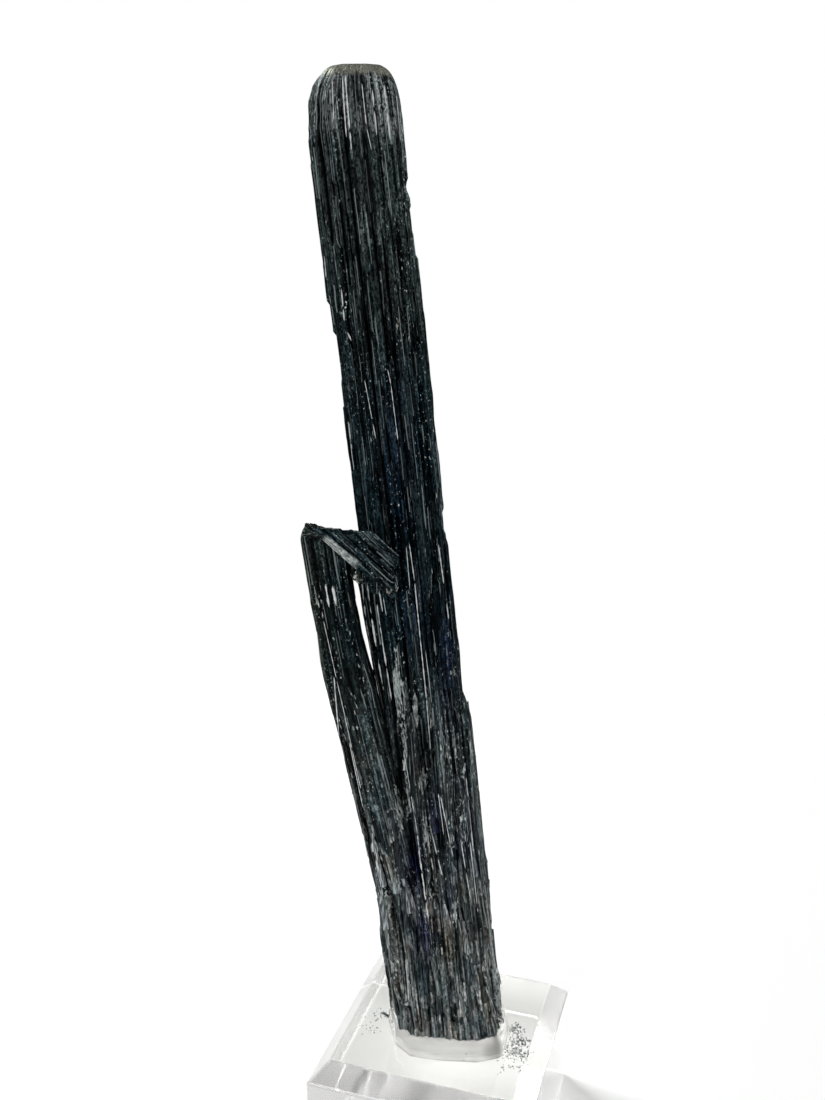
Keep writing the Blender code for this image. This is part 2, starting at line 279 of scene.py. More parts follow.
# Places that have stayed smooth amid the splinters.
SOUND_PLACES = [
    (-10.1, -4, 44.4, 1.9, 5.5, 1.0), (3.4, -9, 51.0, 1.9, 5.5, 1.0), (0.0, -8, 61.2, 1.5, 5, 0.9),
    (-11.2, -4, 56.1, 1.8, 6, 0.9), (-7.0, -8, 37.6, 1.5, 4, 0.9), (-14.4, -4, 67.8, 2.2, 9, 0.8),
    (5.0, 6, 48, 2.2, 8, 0.9), (-5.5, 7, 60, 2.0, 9, 0.9), (8.5, -2, 42, 1.8, 8, 0.8),
]
# Cracks between the strips: a line of (x, z) places, its width and its depth. The second list is on
# the back.
CRACKS = [
    (((-8.1, 109.5), (-7.4, 96.5), (-6.1, 82.9)), 0.35, 0.9),
    (((-3.8, 50.0), (-5.8, 62.1), (-7.8, 69.4), (-9.0, 79.9)), 0.32, 1.0),
    (((-7.0, 33.9), (-7.5, 41.1), (-8.5, 45.9), (-9.6, 52.9)), 0.5, 1.1),
    (((-1.1, 59.8), (-1.6, 64.9)), 0.35, 0.6), (((5.9, 30.3), (4.6, 35.4)), 0.35, 0.7),
    (((-5.7, 26.7), (-7.2, 32.5)), 0.45, 0.8), (((-11.8, 139.6), (-12.7, 153.0)), 0.3, 0.4),
    (((-7.9, 136.7), (-8.9, 144.2)), 0.3, 0.4), (((-5.2, 136.7), (-6.0, 144.5)), 0.3, 0.4),
    (((-9.0, 79.5), (-10.1, 93.2)), 0.35, 0.7), (((-2.1, 36.0), (-3.3, 44.7)), 0.4, 0.8),
    (((2.6, 36.0), (1.3, 46.6)), 0.4, 0.8), (((-9.8, 30.0), (-11.4, 44.0), (-14.0, 66.0)), 0.35, 0.6),
    (((6.8, 33.0), (4.4, 56.0)), 0.35, 0.6),
]
BACK_CRACKS = [
    (((4.6, 29.0), (1.9, 50.0), (-3.4, 76.0)), 0.45, 0.9), (((-1.8, 31.0), (-4.6, 60.0)), 0.45, 0.8),
    (((6.9, 40.0), (3.2, 68.0)), 0.4, 0.7), (((-6.2, 44.0), (-10.4, 80.0)), 0.45, 0.8),
    (((-4.0, 86.0), (-8.2, 118.0)), 0.35, 0.6),
]
# Chips knocked out of the edges: a place, a radius and a depth.
CHIPS = [
    ((-6.0, -1, 164.2), 1.3, 0.5), ((-5.4, -1, 159.6), 1.8, 0.6), ((-20.4, -1, 175.2), 1.2, 0.5),
    ((-20.6, -1, 171.5), 1.1, 0.5), ((-19.9, -1, 179.2), 3.6, 0.75),
    ((-20.9, -1, 174.8), 3.4, 0.55), ((-18.0, -4, 176.4), 1.0, 0.3),
]


def total(tree, start, *terms):
    """The start plus the product of each (source, weight)."""
    for source, weight in terms:
        start = node(tree, "Math", operation="MULTIPLY_ADD", i0=source, i1=weight, i2=start)
    return start


def where(tree, *rises):
    """The product of rises, each of them (source, from, to, most): 0 at from, and most at to."""
    product = 1.0
    for source, low, high, most in rises:
        rise = node(tree, "MapRange", Value=source, From_Min=low, From_Max=high, To_Max=most)
        product = node(tree, "Math", operation="MULTIPLY", i0=product, i1=rise)
    return product


def layered(tree, colour, *layers):
    """Lays layers over a colour, each of them (blend, rises that say where, colour)."""
    for blend, rises, laid in layers:
        laid = srgb(laid) if isinstance(laid, str) else laid
        colour = node(tree, "Mix", data_type="RGBA", blend_type=blend, i0=where(tree, *rises),
                      i6=colour, i7=laid).outputs[2]
    return colour


def drawn_out(tree, across, lengthwise, detail):
    """Noise drawn out along the crystal, from its cells per millimetre across and lengthwise."""
    across = node(tree, "Math", operation="MULTIPLY", i0=around, i1=across)
    lengthwise = node(tree, "Math", operation="MULTIPLY", i0=along, i1=lengthwise)
    place = node(tree, "CombineXYZ", X=across, Y=lengthwise)
    return node(tree, "TexNoise", i0=place, Scale=1.0, Detail=detail, Roughness=0.65)


def spread(tree, scale, detail):
    """Noise with these cells per metre along X, Y and Z."""
    place = node(tree, "Mapping", Vector=node(tree, "TexCoord").outputs["Object"], Scale=scale)
    return node(tree, "TexNoise", i0=place, Scale=1.0, Detail=detail)


def strips(tree, around, along, width, length, seed):
    """Strips along a crystal, width across and length long in mm: how far each point lies from its
    strip's middle and from its edge, and a chance for each length of strip."""
    place = node(tree, "Math", operation="DIVIDE", i0=around, i1=width)
    place = node(tree, "Math", operation="ADD", i0=place, i1=seed)
    shape = {"voronoi_dimensions": "1D", "W": place, "Scale": 1.0, "Randomness": 0.75}
    cell = node(tree, "TexVoronoi", **shape).outputs
    border = node(tree, "TexVoronoi", feature="DISTANCE_TO_EDGE", **shape).outputs["Distance"]
    across = node(tree, "Math", operation="SUBTRACT", i0=place, i1=cell["W"])
    # Each strip's own colour says how long its lengths are and where they start.
    own = node(tree, "SeparateXYZ", Vector=cell["Color"]).outputs
    strip = node(tree, "Math", operation="MULTIPLY", i0=own["X"], i1=91.0)
    pace = node(tree, "Math", operation="ADD", i0=own["Y"], i1=0.5)
    start = node(tree, "Math", operation="MULTIPLY", i0=own["Z"], i1=9.0)
    stretch = node(tree, "Math", operation="DIVIDE", i0=along, i1=length)
    stretch = node(tree, "Math", operation="MULTIPLY", i0=stretch, i1=pace)
    stretch = node(tree, "Math", operation="ADD", i0=stretch, i1=start)
    stretch = node(tree, "Math", operation="FLOOR", i0=stretch)
    key = node(tree, "CombineXYZ", X=strip, Y=stretch, Z=seed)
    return across, border, node(tree, "TexWhiteNoise", noise_dimensions="3D", Vector=key).outputs


def patchy(tree, colour):
    """Tints a weathered colour brown or blue in patches a few millimetres wide."""
    tints = [(0.34, "#d8ccbe"), (0.44, "#fbfdfa"), (0.54, "#edf4f3"), (0.66, "#a7b9c3")]
    patch = spread(tree, (300.0, 300.0, 110.0), 2.0)
    return layered(tree, colour, ("MULTIPLY", [], node(tree, "ValToRGB", tints, Fac=patch)))


# Tarnished stibnite: a sub-metallic sulphide skin, near black with a blue-green cast, each strip a
# little different, dull grey where weathered, and pale where crusted, with painted highlights in
# dashes on one flank of many ribs and along some strands, and painted shade along the strand
# borders, in the deepest places and in the cracks. Its hairlines are 0.2 mm apart, its strands and
# flakes 0.3 mm wide, its slivers 0.5 mm and its dashes 1 mm. Pits and specks of 0.3 mm are coarser
# than the real ones, to show; the pale specks are painted glints.
stibnite, tree = new_material("stibnite_tarnished")
around, along, rib, line, flank, sunk, wear, crack, facet, crust, bare, navy, olive = (
    node(tree, "Attribute", attribute_name=name).outputs["Fac"]
    for name in ("around_mm", "along_mm", "rib", "line", "flank", "sunk", "wear", "crack", "facet",
                 *PATCHES)
)
hair = drawn_out(tree, 5.0, 0.22, 4.0)
dash = drawn_out(tree, 0.9, 0.10, 3.0)
mottle = drawn_out(tree, 3.0, 0.7, 5.0)
flake = drawn_out(tree, 3.2, 0.8, 5.0)
sliver = drawn_out(tree, 1.9, 0.30, 3.0)
grit = spread(tree, (3600.0, 3600.0, 2400.0), 2.0)
cloud = spread(tree, (260.0, 260.0, 70.0), 3.0)
waver = total(tree, around, (sliver, 0.25))
strand_flank, strand_edge, strand = strips(tree, waver, along, 0.34, 7.0, 2.0)
strand_chance = node(tree, "SeparateXYZ", Vector=strand["Color"]).outputs["Y"]
splint = strips(tree, waver, along, 0.85, 5.0, 5.0)[2]["Value"]
lift = node(tree, "SeparateXYZ", Vector=node(tree, "TexCoord").outputs["Object"]).outputs["Z"]
climb = total(tree, lift, (dash, 3.0 * MM))
# The foot is weathered, and so is every skin that is rough enough.
worn = node(tree, "Math", operation="MAXIMUM", i0=where(tree, (wear, 0.95, 1.6, 0.9)),
            i1=where(tree, (lift, 96 * MM, 34 * MM, 0.8)))
weathering = total(tree, 0.0, (splint, 0.6), (sliver, 0.6))
greys = [(0.24, "#1c2629"), (0.44, "#a4b1b4"), (0.60, "#f6f9f7"), (0.9, "#ffffff")]
weathered = patchy(tree, node(tree, "ValToRGB", greys, Fac=weathering))
# The topmost 9 mm is rubbed to a smooth ash grey, and its very end is a worn taupe cap.
ash = where(tree, (climb, 172.2 * MM, 173.2 * MM, 0.9))
ashen = node(tree, "ValToRGB", [(0.30, "#758083"), (0.55, "#a5adae"), (0.72, "#d6dad7")], Fac=hair)
cap = node(tree, "ValToRGB", [(0.35, "#4f5049"), (0.60, "#7b7c72")], Fac=grit)
lines = node(tree, "ValToRGB", [(0.0, "#707070"), (0.7, "#ffffff")], Fac=line)
strands = [(0.0, "#5c5c5c"), (0.45, "#d0d0d0"), (0.7, "#ffffff")]
strands = node(tree, "ValToRGB", strands, Fac=strand["Value"])
mottles = node(tree, "ValToRGB", [(0.36, "#606060"), (0.48, "#d0d0d0"), (0.56, "#ffffff")], Fac=mottle)
pits = node(tree, "ValToRGB", [(0.38, "#585c5e"), (0.48, "#e0e2e2"), (0.56, "#ffffff")], Fac=grit)
# Painted highlights in dashes on one flank of many ribs and painted glints along some strands, bare
# breaks and crust, which are all duller than the tarnish.
flank_highlight = where(tree, (flank, -0.36, -0.40, 1), (dash, 0.54, 0.60, 0.7))
glint = where(tree, (strand_flank, 0.18, 0.24, 1), (strand_chance, 0.86, 0.90, 0.6))
flank_highlight = node(tree, "Math", operation="MAXIMUM", i0=flank_highlight, i1=glint)
bared = total(tree, -0.8, (flake, 1.4), (strand["Value"], 0.5), (mottle, 1.6), (bare, 1.0))
bared = where(tree, (bared, 1.44, 1.50, 1))
smooth = where(tree, (facet, 0, 1, 1), (flake, 0.30, 0.38, 1))
bared = node(tree, "Math", operation="MAXIMUM", i0=smooth, i1=bared)
bared_greys = [(0.36, "#4b5456"), (0.50, "#929c9b"), (0.60, "#dbe1dd")]
bared_greys = node(tree, "ValToRGB", bared_greys, Fac=mottle)
crusted = where(tree, (total(tree, crust, (mottle, 0.9)), 0.98, 1.08, 1))
crust_greys = node(tree, "ValToRGB", [(0.35, "#5c5f58"), (0.65, "#a9a9a0")], Fac=grit)
tarnish = [(0.0, "#223842"), (0.5, "#39545c"), (0.8, "#516f78"), (1.0, "#7e9ba2")]
body = layered(
    tree, node(tree, "ValToRGB", tarnish, Fac=rib),
    ("MIX", [(line, 0.84, 0.95, 1)], "#8a999e"),
    ("MIX", [(cloud, 0.48, 0.64, 0.8)], "#28545f"),
    ("MIX", [(navy, 0, 1, 1), (cloud, 0.30, 0.50, 1)], "#262d86"),
    ("MIX", [(olive, 0, 1, 1), (hair, 0.28, 0.52, 1)], "#85917a"),
    ("MIX", [(worn, 0, 1, 1), (navy, 1, 0, 1)], weathered),
    ("MIX", [(climb, 125 * MM, 165 * MM, 0.6)], "#6c7673"),
    ("MIX", [(ash, 0, 1, 1)], ashen),
    ("MULTIPLY", [], lines),
    ("MULTIPLY", [], strands),
    ("MULTIPLY", [], mottles),
    ("MULTIPLY", [(worn, 1, 0, 1)], pits),
    # Painted shade: near black along the borders between strands, as in fine grooves.
    ("MIX", [(strand_edge, 0.12, 0.02, 0.8)], "#07090a"),
    # Painted shade: the deepest places of the relief darkened to near black, less so in the ash grey
    # top.
    ("MIX", [(sunk, 0.50, 1.1, 0.92), (ash, 2, 0, 1)], "#07080a"),
    # Painted highlight: pale grey in dashes on the lit flank of many ribs and on glinting strands.
    ("MIX", [(flank_highlight, 0, 1, 1)], "#9aa5a6"),
    # Painted glints: pale specks of about 0.3 mm in patches.
    ("MIX", [(grit, 0.66, 0.72, 1), (cloud, 0.46, 0.62, 1)], "#d0d6d6"),
    ("MIX", [(climb, 180.2 * MM, 180.8 * MM, 1)], cap),
    ("MIX", [(bared, 0, 1, 1)], bared_greys),
    ("MIX", [(crusted, 0, 1, 1)], crust_greys),
    # Painted shade: the cracks darkened to near black along their middles.
    ("MIX", [(crack, 0.3, 0.9, 0.85)], "#050607"),
)
# A satin gloss, its roughness 0.30 to 0.55 from rib to rib, and metallic where nothing dulls it.
dull = where(tree, (worn, 0, 1, 0.6))
for duller in (flank_highlight, bared, crusted):
    dull = node(tree, "Math", operation="MAXIMUM", i0=dull, i1=duller)
metallic = node(tree, "Math", operation="SUBTRACT", use_clamp=True, i0=0.85, i1=dull)
shader = node(tree, "BsdfPrincipled", Base_Color=body, Metallic=metallic, IOR=1.5,
              Specular_IOR_Level=0.2, Specular_Tint=srgb("#8a8f92"),
              Roughness=where(tree, (rib, -1.2, 2.8, 1)),
              Normal=node(tree, "Bump", Strength=0.4, Distance=0.08 * MM, Height=mottle))
node(tree, "OutputMaterial", Surface=shader)


def striate_tree():
    """Sinks each strip of a crystal's skin by a depth of its own, on three scales, and keeps what it
    did."""
    tree = bpy.data.node_groups.new("striate", "GeometryNodeTree")
    tree.interface.new_socket("Geometry", in_out="INPUT", socket_type="NodeSocketGeometry")
    # How deep the groove round a strip is, and how far the strip may tilt, in its own depths.
    levels = {"Plate": (0.3, 2.4), "Rib": (0.9, 4.0), "Line": (0.5, 3.0)}
    sizes = [f"{level} {size}" for level in levels for size in ("Width", "Length", "Depth")]
    for name in [*sizes, "Seed", "Tilt"]:
        tree.interface.new_socket(name, in_out="INPUT", socket_type="NodeSocketFloat")
    tree.interface.new_socket("Material", in_out="INPUT", socket_type="NodeSocketMaterial")
    tree.interface.new_socket("Geometry", in_out="OUTPUT", socket_type="NodeSocketGeometry")
    given = node(tree, "NodeGroupInput").outputs
    around, along, wear, way_out = (
        node(tree, "GeometryNodeInputNamedAttribute", data_type=kind, Name=name).outputs["Attribute"]
        for name, kind in (("around_mm", "FLOAT"), ("along_mm", "FLOAT"), ("wear", "FLOAT"),
                           ("way_out", "FLOAT_VECTOR"))
    )
    depths, deepest, keep = 0.0, 0.0, {}
    for number, (level, (groove_depth, most_tilt)) in enumerate(levels.items()):
        width, length, depth = (given[f"{level} {size}"] for size in ("Width", "Length", "Depth"))
        seed = node(tree, "Math", operation="MULTIPLY", i0=given["Seed"], i1=7.0 + number)
        across, border, chances = strips(tree, around, along, width, length, seed)
        groove = node(tree, "MapRange", Value=border, From_Min=0.2, From_Max=0.0, To_Max=groove_depth)
        lean = node(tree, "SeparateXYZ", Vector=chances["Color"]).outputs["Y"]
        lean = node(tree, "Math", operation="SUBTRACT", i0=lean, i1=0.5)
        tilt = node(tree, "Math", operation="MULTIPLY", i0=given["Tilt"], i1=most_tilt)
        tilt = node(tree, "Math", operation="MULTIPLY", i0=lean, i1=tilt)
        tilt = node(tree, "Math", operation="MULTIPLY", i0=across, i1=tilt)
        groove = node(tree, "Math", operation="ADD", i0=groove, i1=tilt)
        own = node(tree, "Math", operation="ADD", i0=chances["Value"], i1=groove)
        own = node(tree, "Math", operation="MULTIPLY", i0=own, i1=depth)
        depths = node(tree, "Math", operation="ADD", i0=depths, i1=own)
        deepest = node(tree, "Math", operation="ADD", i0=deepest, i1=depth)
        keep[level.lower()] = chances["Value"]
        if level == "Rib":
            keep["flank"] = across
    keep["sunk"] = node(tree, "Math", operation="DIVIDE", i0=depths, i1=deepest)
    kept = given["Geometry"]
    for name, value in keep.items():
        kept = node(tree, "GeometryNodeStoreNamedAttribute", data_type="FLOAT", domain="POINT",
                    Geometry=kept, Name=name, Value=value)
    position = node(tree, "GeometryNodeInputPosition")
    swell = node(tree, "TexNoise", i0=position, Scale=140.0, Detail=2.0)
    swell = node(tree, "Math", operation="SUBTRACT", i0=swell, i1=0.5)
    swell = node(tree, "Math", operation="MULTIPLY", i0=swell, i1=0.7)
    depths = node(tree, "Math", operation="ADD", i0=depths, i1=swell)
    inward = node(tree, "Math", operation="MULTIPLY", i0=wear, i1=-MM)
    inward = node(tree, "Math", operation="MULTIPLY", i0=depths, i1=inward)
    shift = node(tree, "VectorMath", operation="SCALE", i0=way_out, Scale=inward)
    sunk = node(tree, "GeometryNodeSetPosition", Geometry=kept, Offset=shift)
    whole = node(tree, "GeometryNodeRealizeInstances", Geometry=sunk)
    dressed = node(tree, "GeometryNodeSetMaterial", Geometry=whole, Material=given["Material"])
    node(tree, "NodeGroupOutput", Geometry=dressed)
    return tree


striate = striate_tree()


def run_nodes(obj, group, **values):
    """Runs a node group on the object and leaves the result as its plain mesh."""
    modifier = obj.modifiers.new(group.name, "NODES")
    modifier.node_group = group
    for socket in group.interface.items_tree:
        name = socket.name.replace(" ", "_")
        if socket.in_out == "INPUT" and name in values:
            modifier[socket.identifier] = values[name]
    obj.update_tag()
    bpy.context.view_layer.update()
    evaluated = obj.evaluated_get(bpy.context.evaluated_depsgraph_get())
    result = bpy.data.meshes.new_from_object(evaluated)
    obj.modifiers.clear()
    obj.data = result


def striated(obj, plate, rib, line, seed, tilt=1.0):
    """Breaks a skin into plates, ribs and lines, each given as (width, length, depth) in mm."""
    sizes = {
        f"{level}_{size}": value
        for level, measures in (("Plate", plate), ("Rib", rib), ("Line", line))
        for size, value in zip(("Width", "Length", "Depth"), measures)
    }
    run_nodes(obj, striate, Tilt=tilt, Seed=seed, Material=stibnite, **sizes)


def near_cracks(points, widen=1.0):
    """How far each point is into a crack, 0 to 1, and how deep the crack goes there, towards the
    back positive."""
    inside, deep = np.zeros(points.shape[:-1]), np.zeros(points.shape[:-1])
    for facing, cracks in ((1, CRACKS), (-1, BACK_CRACKS)):
        for path, width, depth in cracks:
            heights = [z for x, z in path]
            ends = (heights[0] - 1, heights[0] + 1, heights[-1] - 1, heights[-1] + 1)
            across = np.interp(points[..., 2], heights, [x for x, z in path]) - points[..., 0]
            share = np.exp(-(across / (width * widen)) ** 2) * (points[..., 1] * facing < -1.0)
            share *= np.interp(points[..., 2], ends, (0, 1, 1, 0))
            inside = np.maximum(inside, share)
            deep = np.where(share * depth > np.abs(deep), share * depth * facing, deep)
    return inside, deep


def near_places(points, places):
    """How near each point is to these (x, y, z, radius, half height, most) places, as 0 to 1."""
    most = np.zeros(len(points))
    for x, y, z, radius, height, amount in places:
        away = ((points[:, 0] - x) ** 2 + (points[:, 1] - y) ** 2 * 0.2) / radius ** 2
        most = np.maximum(most, amount * np.exp(-away - ((points[:, 2] - z) / height) ** 2))
    return most


skins = bpy.data.collections.new("stibnite_skins")
bpy.context.scene.collection.children.link(skins)


def skin(name, outline, rows, reshape=None):
    """A closed skin through rows of (x, y, z, scale x, scale y, wear), each of them the outline,
    with its attributes."""
    places, ways, distances = outline
    rows = np.asarray(rows, float)
    columns = len(places)
    points = np.zeros((len(rows), columns, 3))
    points[:, :, :2] = places[None] * rows[:, None, 3:5] + rows[:, None, :2]
    points[:, :, 2] = rows[:, None, 2]
    # The strips are shorter where the skin is rougher.
    climb = np.gradient(rows[:, 2]) * (0.6 + 0.8 * rows[:, 5])
    along = np.cumsum(np.abs(climb))
    if reshape:
        reshape(points)
    grain = np.gradient(points, axis=0).reshape(-1, 3) + (0, 0, 0.05)
    grain = grain / np.linalg.norm(grain, axis=1)[:, None] @ np.array(turn)[:3, :3].T
    grain = np.concatenate([grain, [(0, 0, 1)] * 2]).astype(np.float32)
    cracked, deep = near_cracks(points)
    points[:, :, 1] += deep
    flat = points.reshape(-1, 3)
    flat = np.concatenate([flat, [points[0].mean(axis=0)], [points[-1].mean(axis=0)]])
    last = (len(rows) - 1) * columns
    faces = tube_faces(len(rows), columns)
    faces += [[(i + 1) % columns, i, len(flat) - 2] for i in range(columns)]
    faces += [[last + i, last + (i + 1) % columns, len(flat) - 1] for i in range(columns)]
    obj = mesh_object(name, flat, faces, stibnite)
    values = {
        "around_mm": np.tile(distances, len(rows)), "along_mm": np.repeat(along, columns),
        "wear": np.repeat(rows[:, 5], columns), "crack": cracked.reshape(-1),
    }
    for key, value in values.items():
        values[key] = np.concatenate([value, [value[0], value[-1]]])
    for key, patches in PATCHES.items():
        values[key] = near_places(flat, patches)
    # Splinters cover the lower half, and the slanting ones the foot alone.
    heights = (FOOT_Z + 5, FOOT_Z + 8, 50, 85, 96)
    values["ragged"] = np.interp(flat[:, 2], heights, (0.0, 1.0, 0.75, 0.12, 0.0))
    values["ragged"] *= (1 - near_cracks(flat, 2.2)[0]) * (1 - 0.8 * values["navy"])
    values["ragged"] *= 1 - 0.9 * near_places(flat, SOUND_PLACES)
    values["slanted"] = values["ragged"] * np.interp(flat[:, 2], (42, 54), (1.0, 0.0))
    for key, value in values.items():
        stored = obj.data.attributes.new(key, "FLOAT", "POINT")
        stored.data.foreach_set("value", value.astype(np.float32))
    out = np.zeros((len(flat), 3), np.float32)
    out[:-2, :2] = np.tile(ways, (len(rows), 1))
    for key, value in (("way_out", out), ("grain", grain)):
        stored = obj.data.attributes.new(key, "FLOAT_VECTOR", "POINT")
        stored.data.foreach_set("vector", value.reshape(-1))
    bpy.context.scene.collection.objects.unlink(obj)
    skins.objects.link(obj)
    return obj


def settle(obj):
    """Turns a finished piece from the specimen's own frame into place, and fixes it."""
    obj.data.transform(turn)
    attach(obj, "root")


def main_x(z):
    """The place across of the main crystal's axis, which leans to the left as it rises."""
    return MAIN_TOP_X + MAIN_LEAN * (TOP_Z - z)


def flare(z):
    """0 on the even upper part of the specimen, rising smoothly to 1 at its foot."""
    share = min(1.0, max(0.0, (FLARE_TOP - z) / (FLARE_TOP - FOOT_Z)))
    return share * share * (3 - 2 * share)


def chip(points):
    """Knocks a few small chips out of the edges of the worn top."""
    for place, radius, depth in CHIPS:
        away = np.linalg.norm((points - place) * (1, 0.35, 1), axis=2)
        inward = np.array([main_x(place[2]), 0]) - place[:2]
        share = np.maximum(0, 1 - (away / radius) ** 2)
        points[:, :, :2] += (inward / np.linalg.norm(inward)) * (depth * share)[:, :, None]


dome_base = TOP_Z - DOME_HEIGHT
rows = []
for z in np.linspace(FOOT_Z, dome_base, MAIN_ROWS):
    full = flare(z)
    wide, thick = (1 + more / half * full for more, half in zip(MAIN_FLARE, MAIN_HALF))
    wear = 0.45 + 0.45 * min(1, (dome_base - z) / 30) + 0.7 * full
    rows.append((main_x(z), -MAIN_FLARE_FORWARD * full, z, wide, thick, wear))
for i in range(1, DOME_ROWS + 1):
    angle = math.radians(90) * i / DOME_ROWS
    share = DOME_FLAT + (1 - DOME_FLAT) * math.cos(angle) ** 0.8
    z = dome_base + DOME_HEIGHT * math.sin(angle)
    wear = 0.45 * (1 - i / DOME_ROWS) + 0.08
    rows.append((main_x(z) + DOME_SHIFT * (1 - share), 0, z, share, share, wear))
rows.append((rows[-1][0], 0, TOP_Z, 0.2, 0.2, 0.0))
# The outline starts a little outside the faces, because the strips are sunk from it.
corners = [(x * (MAIN_HALF[0] + 0.2), y * (MAIN_HALF[1] + 0.2)) for x, y in MAIN_CORNERS]
main_crystal = skin("stibnite_main_crystal", walk_round(corners, 0.165, 0.9), rows, chip)
striated(main_crystal, (2.7, 44.0, 0.50), (1.2, 19.0, 0.34), (0.40, 9.0, 0.10), seed=3.0)
settle(main_crystal)
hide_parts("stibnite_crystals")

# --------------------------------------------------------------------------------------------------
# Foot. The rounded mass in which all the crystals run together, splintered and weathered grey. It
# sits in the putty and thins out upward inside the crystals.
# --------------------------------------------------------------------------------------------------
ROOT_LEAN, ROOT_HEIGHT = 0.11, 30
ROOT_TAPER = (0, 5, 11, 18, ROOT_HEIGHT), (1.0, 0.99, 0.95, 0.88, 0.72)
rows = []
for rise in np.linspace(0, ROOT_HEIGHT, 75):
    share = np.interp(rise, *ROOT_TAPER)
    rows.append((-ROOT_LEAN * rise, 0, FOOT_Z + rise, share, share, min(1.5, 0.5 + rise / 3)))
corners = [(x * 1.02, y * 1.02) for x, y in FOOT_OUTLINE]
foot = skin("stibnite_foot", walk_round(corners, 0.2, 1.2), rows)
striated(foot, (2.4, 16.0, 0.55), (1.05, 9.0, 0.34), (0.42, 5.0, 0.12), seed=11.0)
settle(foot)

# --------------------------------------------------------------------------------------------------
# Side crystal. A thinner prism of the same growth, fused to the main one below and free above, where
# it leans away; its upper end is broken off on a slope.
# --------------------------------------------------------------------------------------------------
SIDE_CORNERS = [
    (-1.00, 0.30), (-0.74, -0.86), (0.10, -1.00), (0.94, -0.74), (1.00, 0.45), (0.20, 1.00),
    (-0.70, 0.86),
]
SIDE_HALF = (3.7, 4.2)
SIDE_Y = -2.8
SIDE_TIP = (-22.9, SIDE_Y, 113.8)
SIDE_FLARE = (0.42, 0.30)
SIDE_BULGE = (60, 88, 96), (0.08, 0.13, -0.02)
SIDE_BREAK_SLOPE = math.radians(24)
SIDE_BREAK_FROM = 98
SIDE_LENGTH_TOP = SIDE_TIP[2] + 1.5
SIDE_AXIS = [(24, -3.8), (46, -6.6), (70, -12.1), (91, -16.7), (102, -18.5), (120, -20.9)]


def stubs(points, size, seed):
    """A random 0 to 1 for the stub of lath that each point is on, the stubs being size across."""
    rng = np.random.default_rng(seed)
    chances = rng.uniform(0, 1, (64, 64))
    places = points[..., :2] / size + 40 + 0.3 * np.sin(points[..., 1::-1] * 1.7)
    cells = np.floor(places).astype(int) % 64
    return chances[cells[..., 0], cells[..., 1]]


def side_break(points):
    """Ends the side crystal on its sloping break, where the laths have snapped a little higher or
    lower."""
    slope = math.tan(SIDE_BREAK_SLOPE)
    x, y, z = (points[..., axis] for axis in range(3))
    end = SIDE_TIP[2] - (x - SIDE_TIP[0]) * slope + (y - SIDE_TIP[1]) * 0.05
    end -= stubs(points, (1.1, 1.5), 8) * 0.35 + 1.6 * np.maximum(0, -22.6 - x) ** 2
    reach = np.maximum(0, (z - SIDE_BREAK_FROM) / (SIDE_LENGTH_TOP - SIDE_BREAK_FROM))
    cut = reach * (SIDE_LENGTH_TOP - end)
    points[..., 2] -= cut
    points[..., 0] += 0.133 * cut


rows = []
for z in np.linspace(FOOT_Z, SIDE_LENGTH_TOP, 190):
    full = flare(z)
    wide = 1 + SIDE_FLARE[0] * full + np.interp(z, *SIDE_BULGE)
    thick = 1 + SIDE_FLARE[1] * full
    rows.append((np.interp(z, *zip(*SIDE_AXIS)), SIDE_Y, z, wide, thick, 0.55 + 1.0 * full))
x, y, z, wide, thick, wear = rows[-1]
for share in np.linspace(0.97, 0.1, 16):
    rows.append((x, y, z, wide * share, thick * share, 0.1))
corners = [(x * (SIDE_HALF[0] + 0.15), y * (SIDE_HALF[1] + 0.15)) for x, y in SIDE_CORNERS]
side_crystal = skin("stibnite_side_crystal", walk_round(corners, 0.17, 0.7), rows, side_break)
striated(side_crystal, (2.4, 40.0, 0.40), (1.0, 20.0, 0.22), (0.36, 8.0, 0.08), seed=5.0)
settle(side_crystal)

# --------------------------------------------------------------------------------------------------
# Cross crystal. A short broken prism grown across the gap between the two others, dipping to the
# right, with its left end cut level and its right end broken upright.
# --------------------------------------------------------------------------------------------------
CROSS_CORNERS = [
    (-1.00, -0.30), (-0.45, -1.00), (0.70, -0.95), (1.00, 0.10), (0.50, 1.00), (-0.75, 0.80),
]
CROSS_DIP = math.radians(43)
CROSS_HALF = (3.07, 2.5)
CROSS_MIDDLE = (-12.75, -6.4, 110.85)
CROSS_REACH = 11.5
CROSS_LEVEL_CUT_Z, CROSS_END_X = 115.0, -6.7
# Its left end is one smooth facet, over these lengths and this much of its way round.
CROSS_FACET_WIDTH = 2.1
CROSS_FACET_ENDS = (-0.6, 0.8, 6.0, 6.7)
lay_down = Matrix.Translation(CROSS_MIDDLE) @ Matrix.Rotation(CROSS_DIP - math.radians(90), 4, "Y")


def cross_cuts(points):
    """Fits the cross crystal's length, still upright, between the two planes that cut it once it is
    laid down."""
    down = np.array(lay_down)
    laid = points @ down[:3, :3].T + down[:3, 3]
    upright_end = (CROSS_END_X, 0, 104), (1, -0.25, -0.1)
    level_end = (0, -8.9, CROSS_LEVEL_CUT_Z), (0, 0.32, 1)
    ends = []
    for point, normal in (upright_end, level_end):
        normal = np.array(normal, float)
        ends.append(points[..., 2] - ((laid - point) @ normal) / (normal @ down[:3, 2]))
    share = np.clip((points[..., 2] + CROSS_REACH) / (2 * CROSS_REACH), 0, 1)
    crag = stubs(points, (0.7, 0.8), 5) * 0.8
    points[..., 2] = ends[0] + crag + (ends[1] - ends[0] - 1.4 * crag) * share


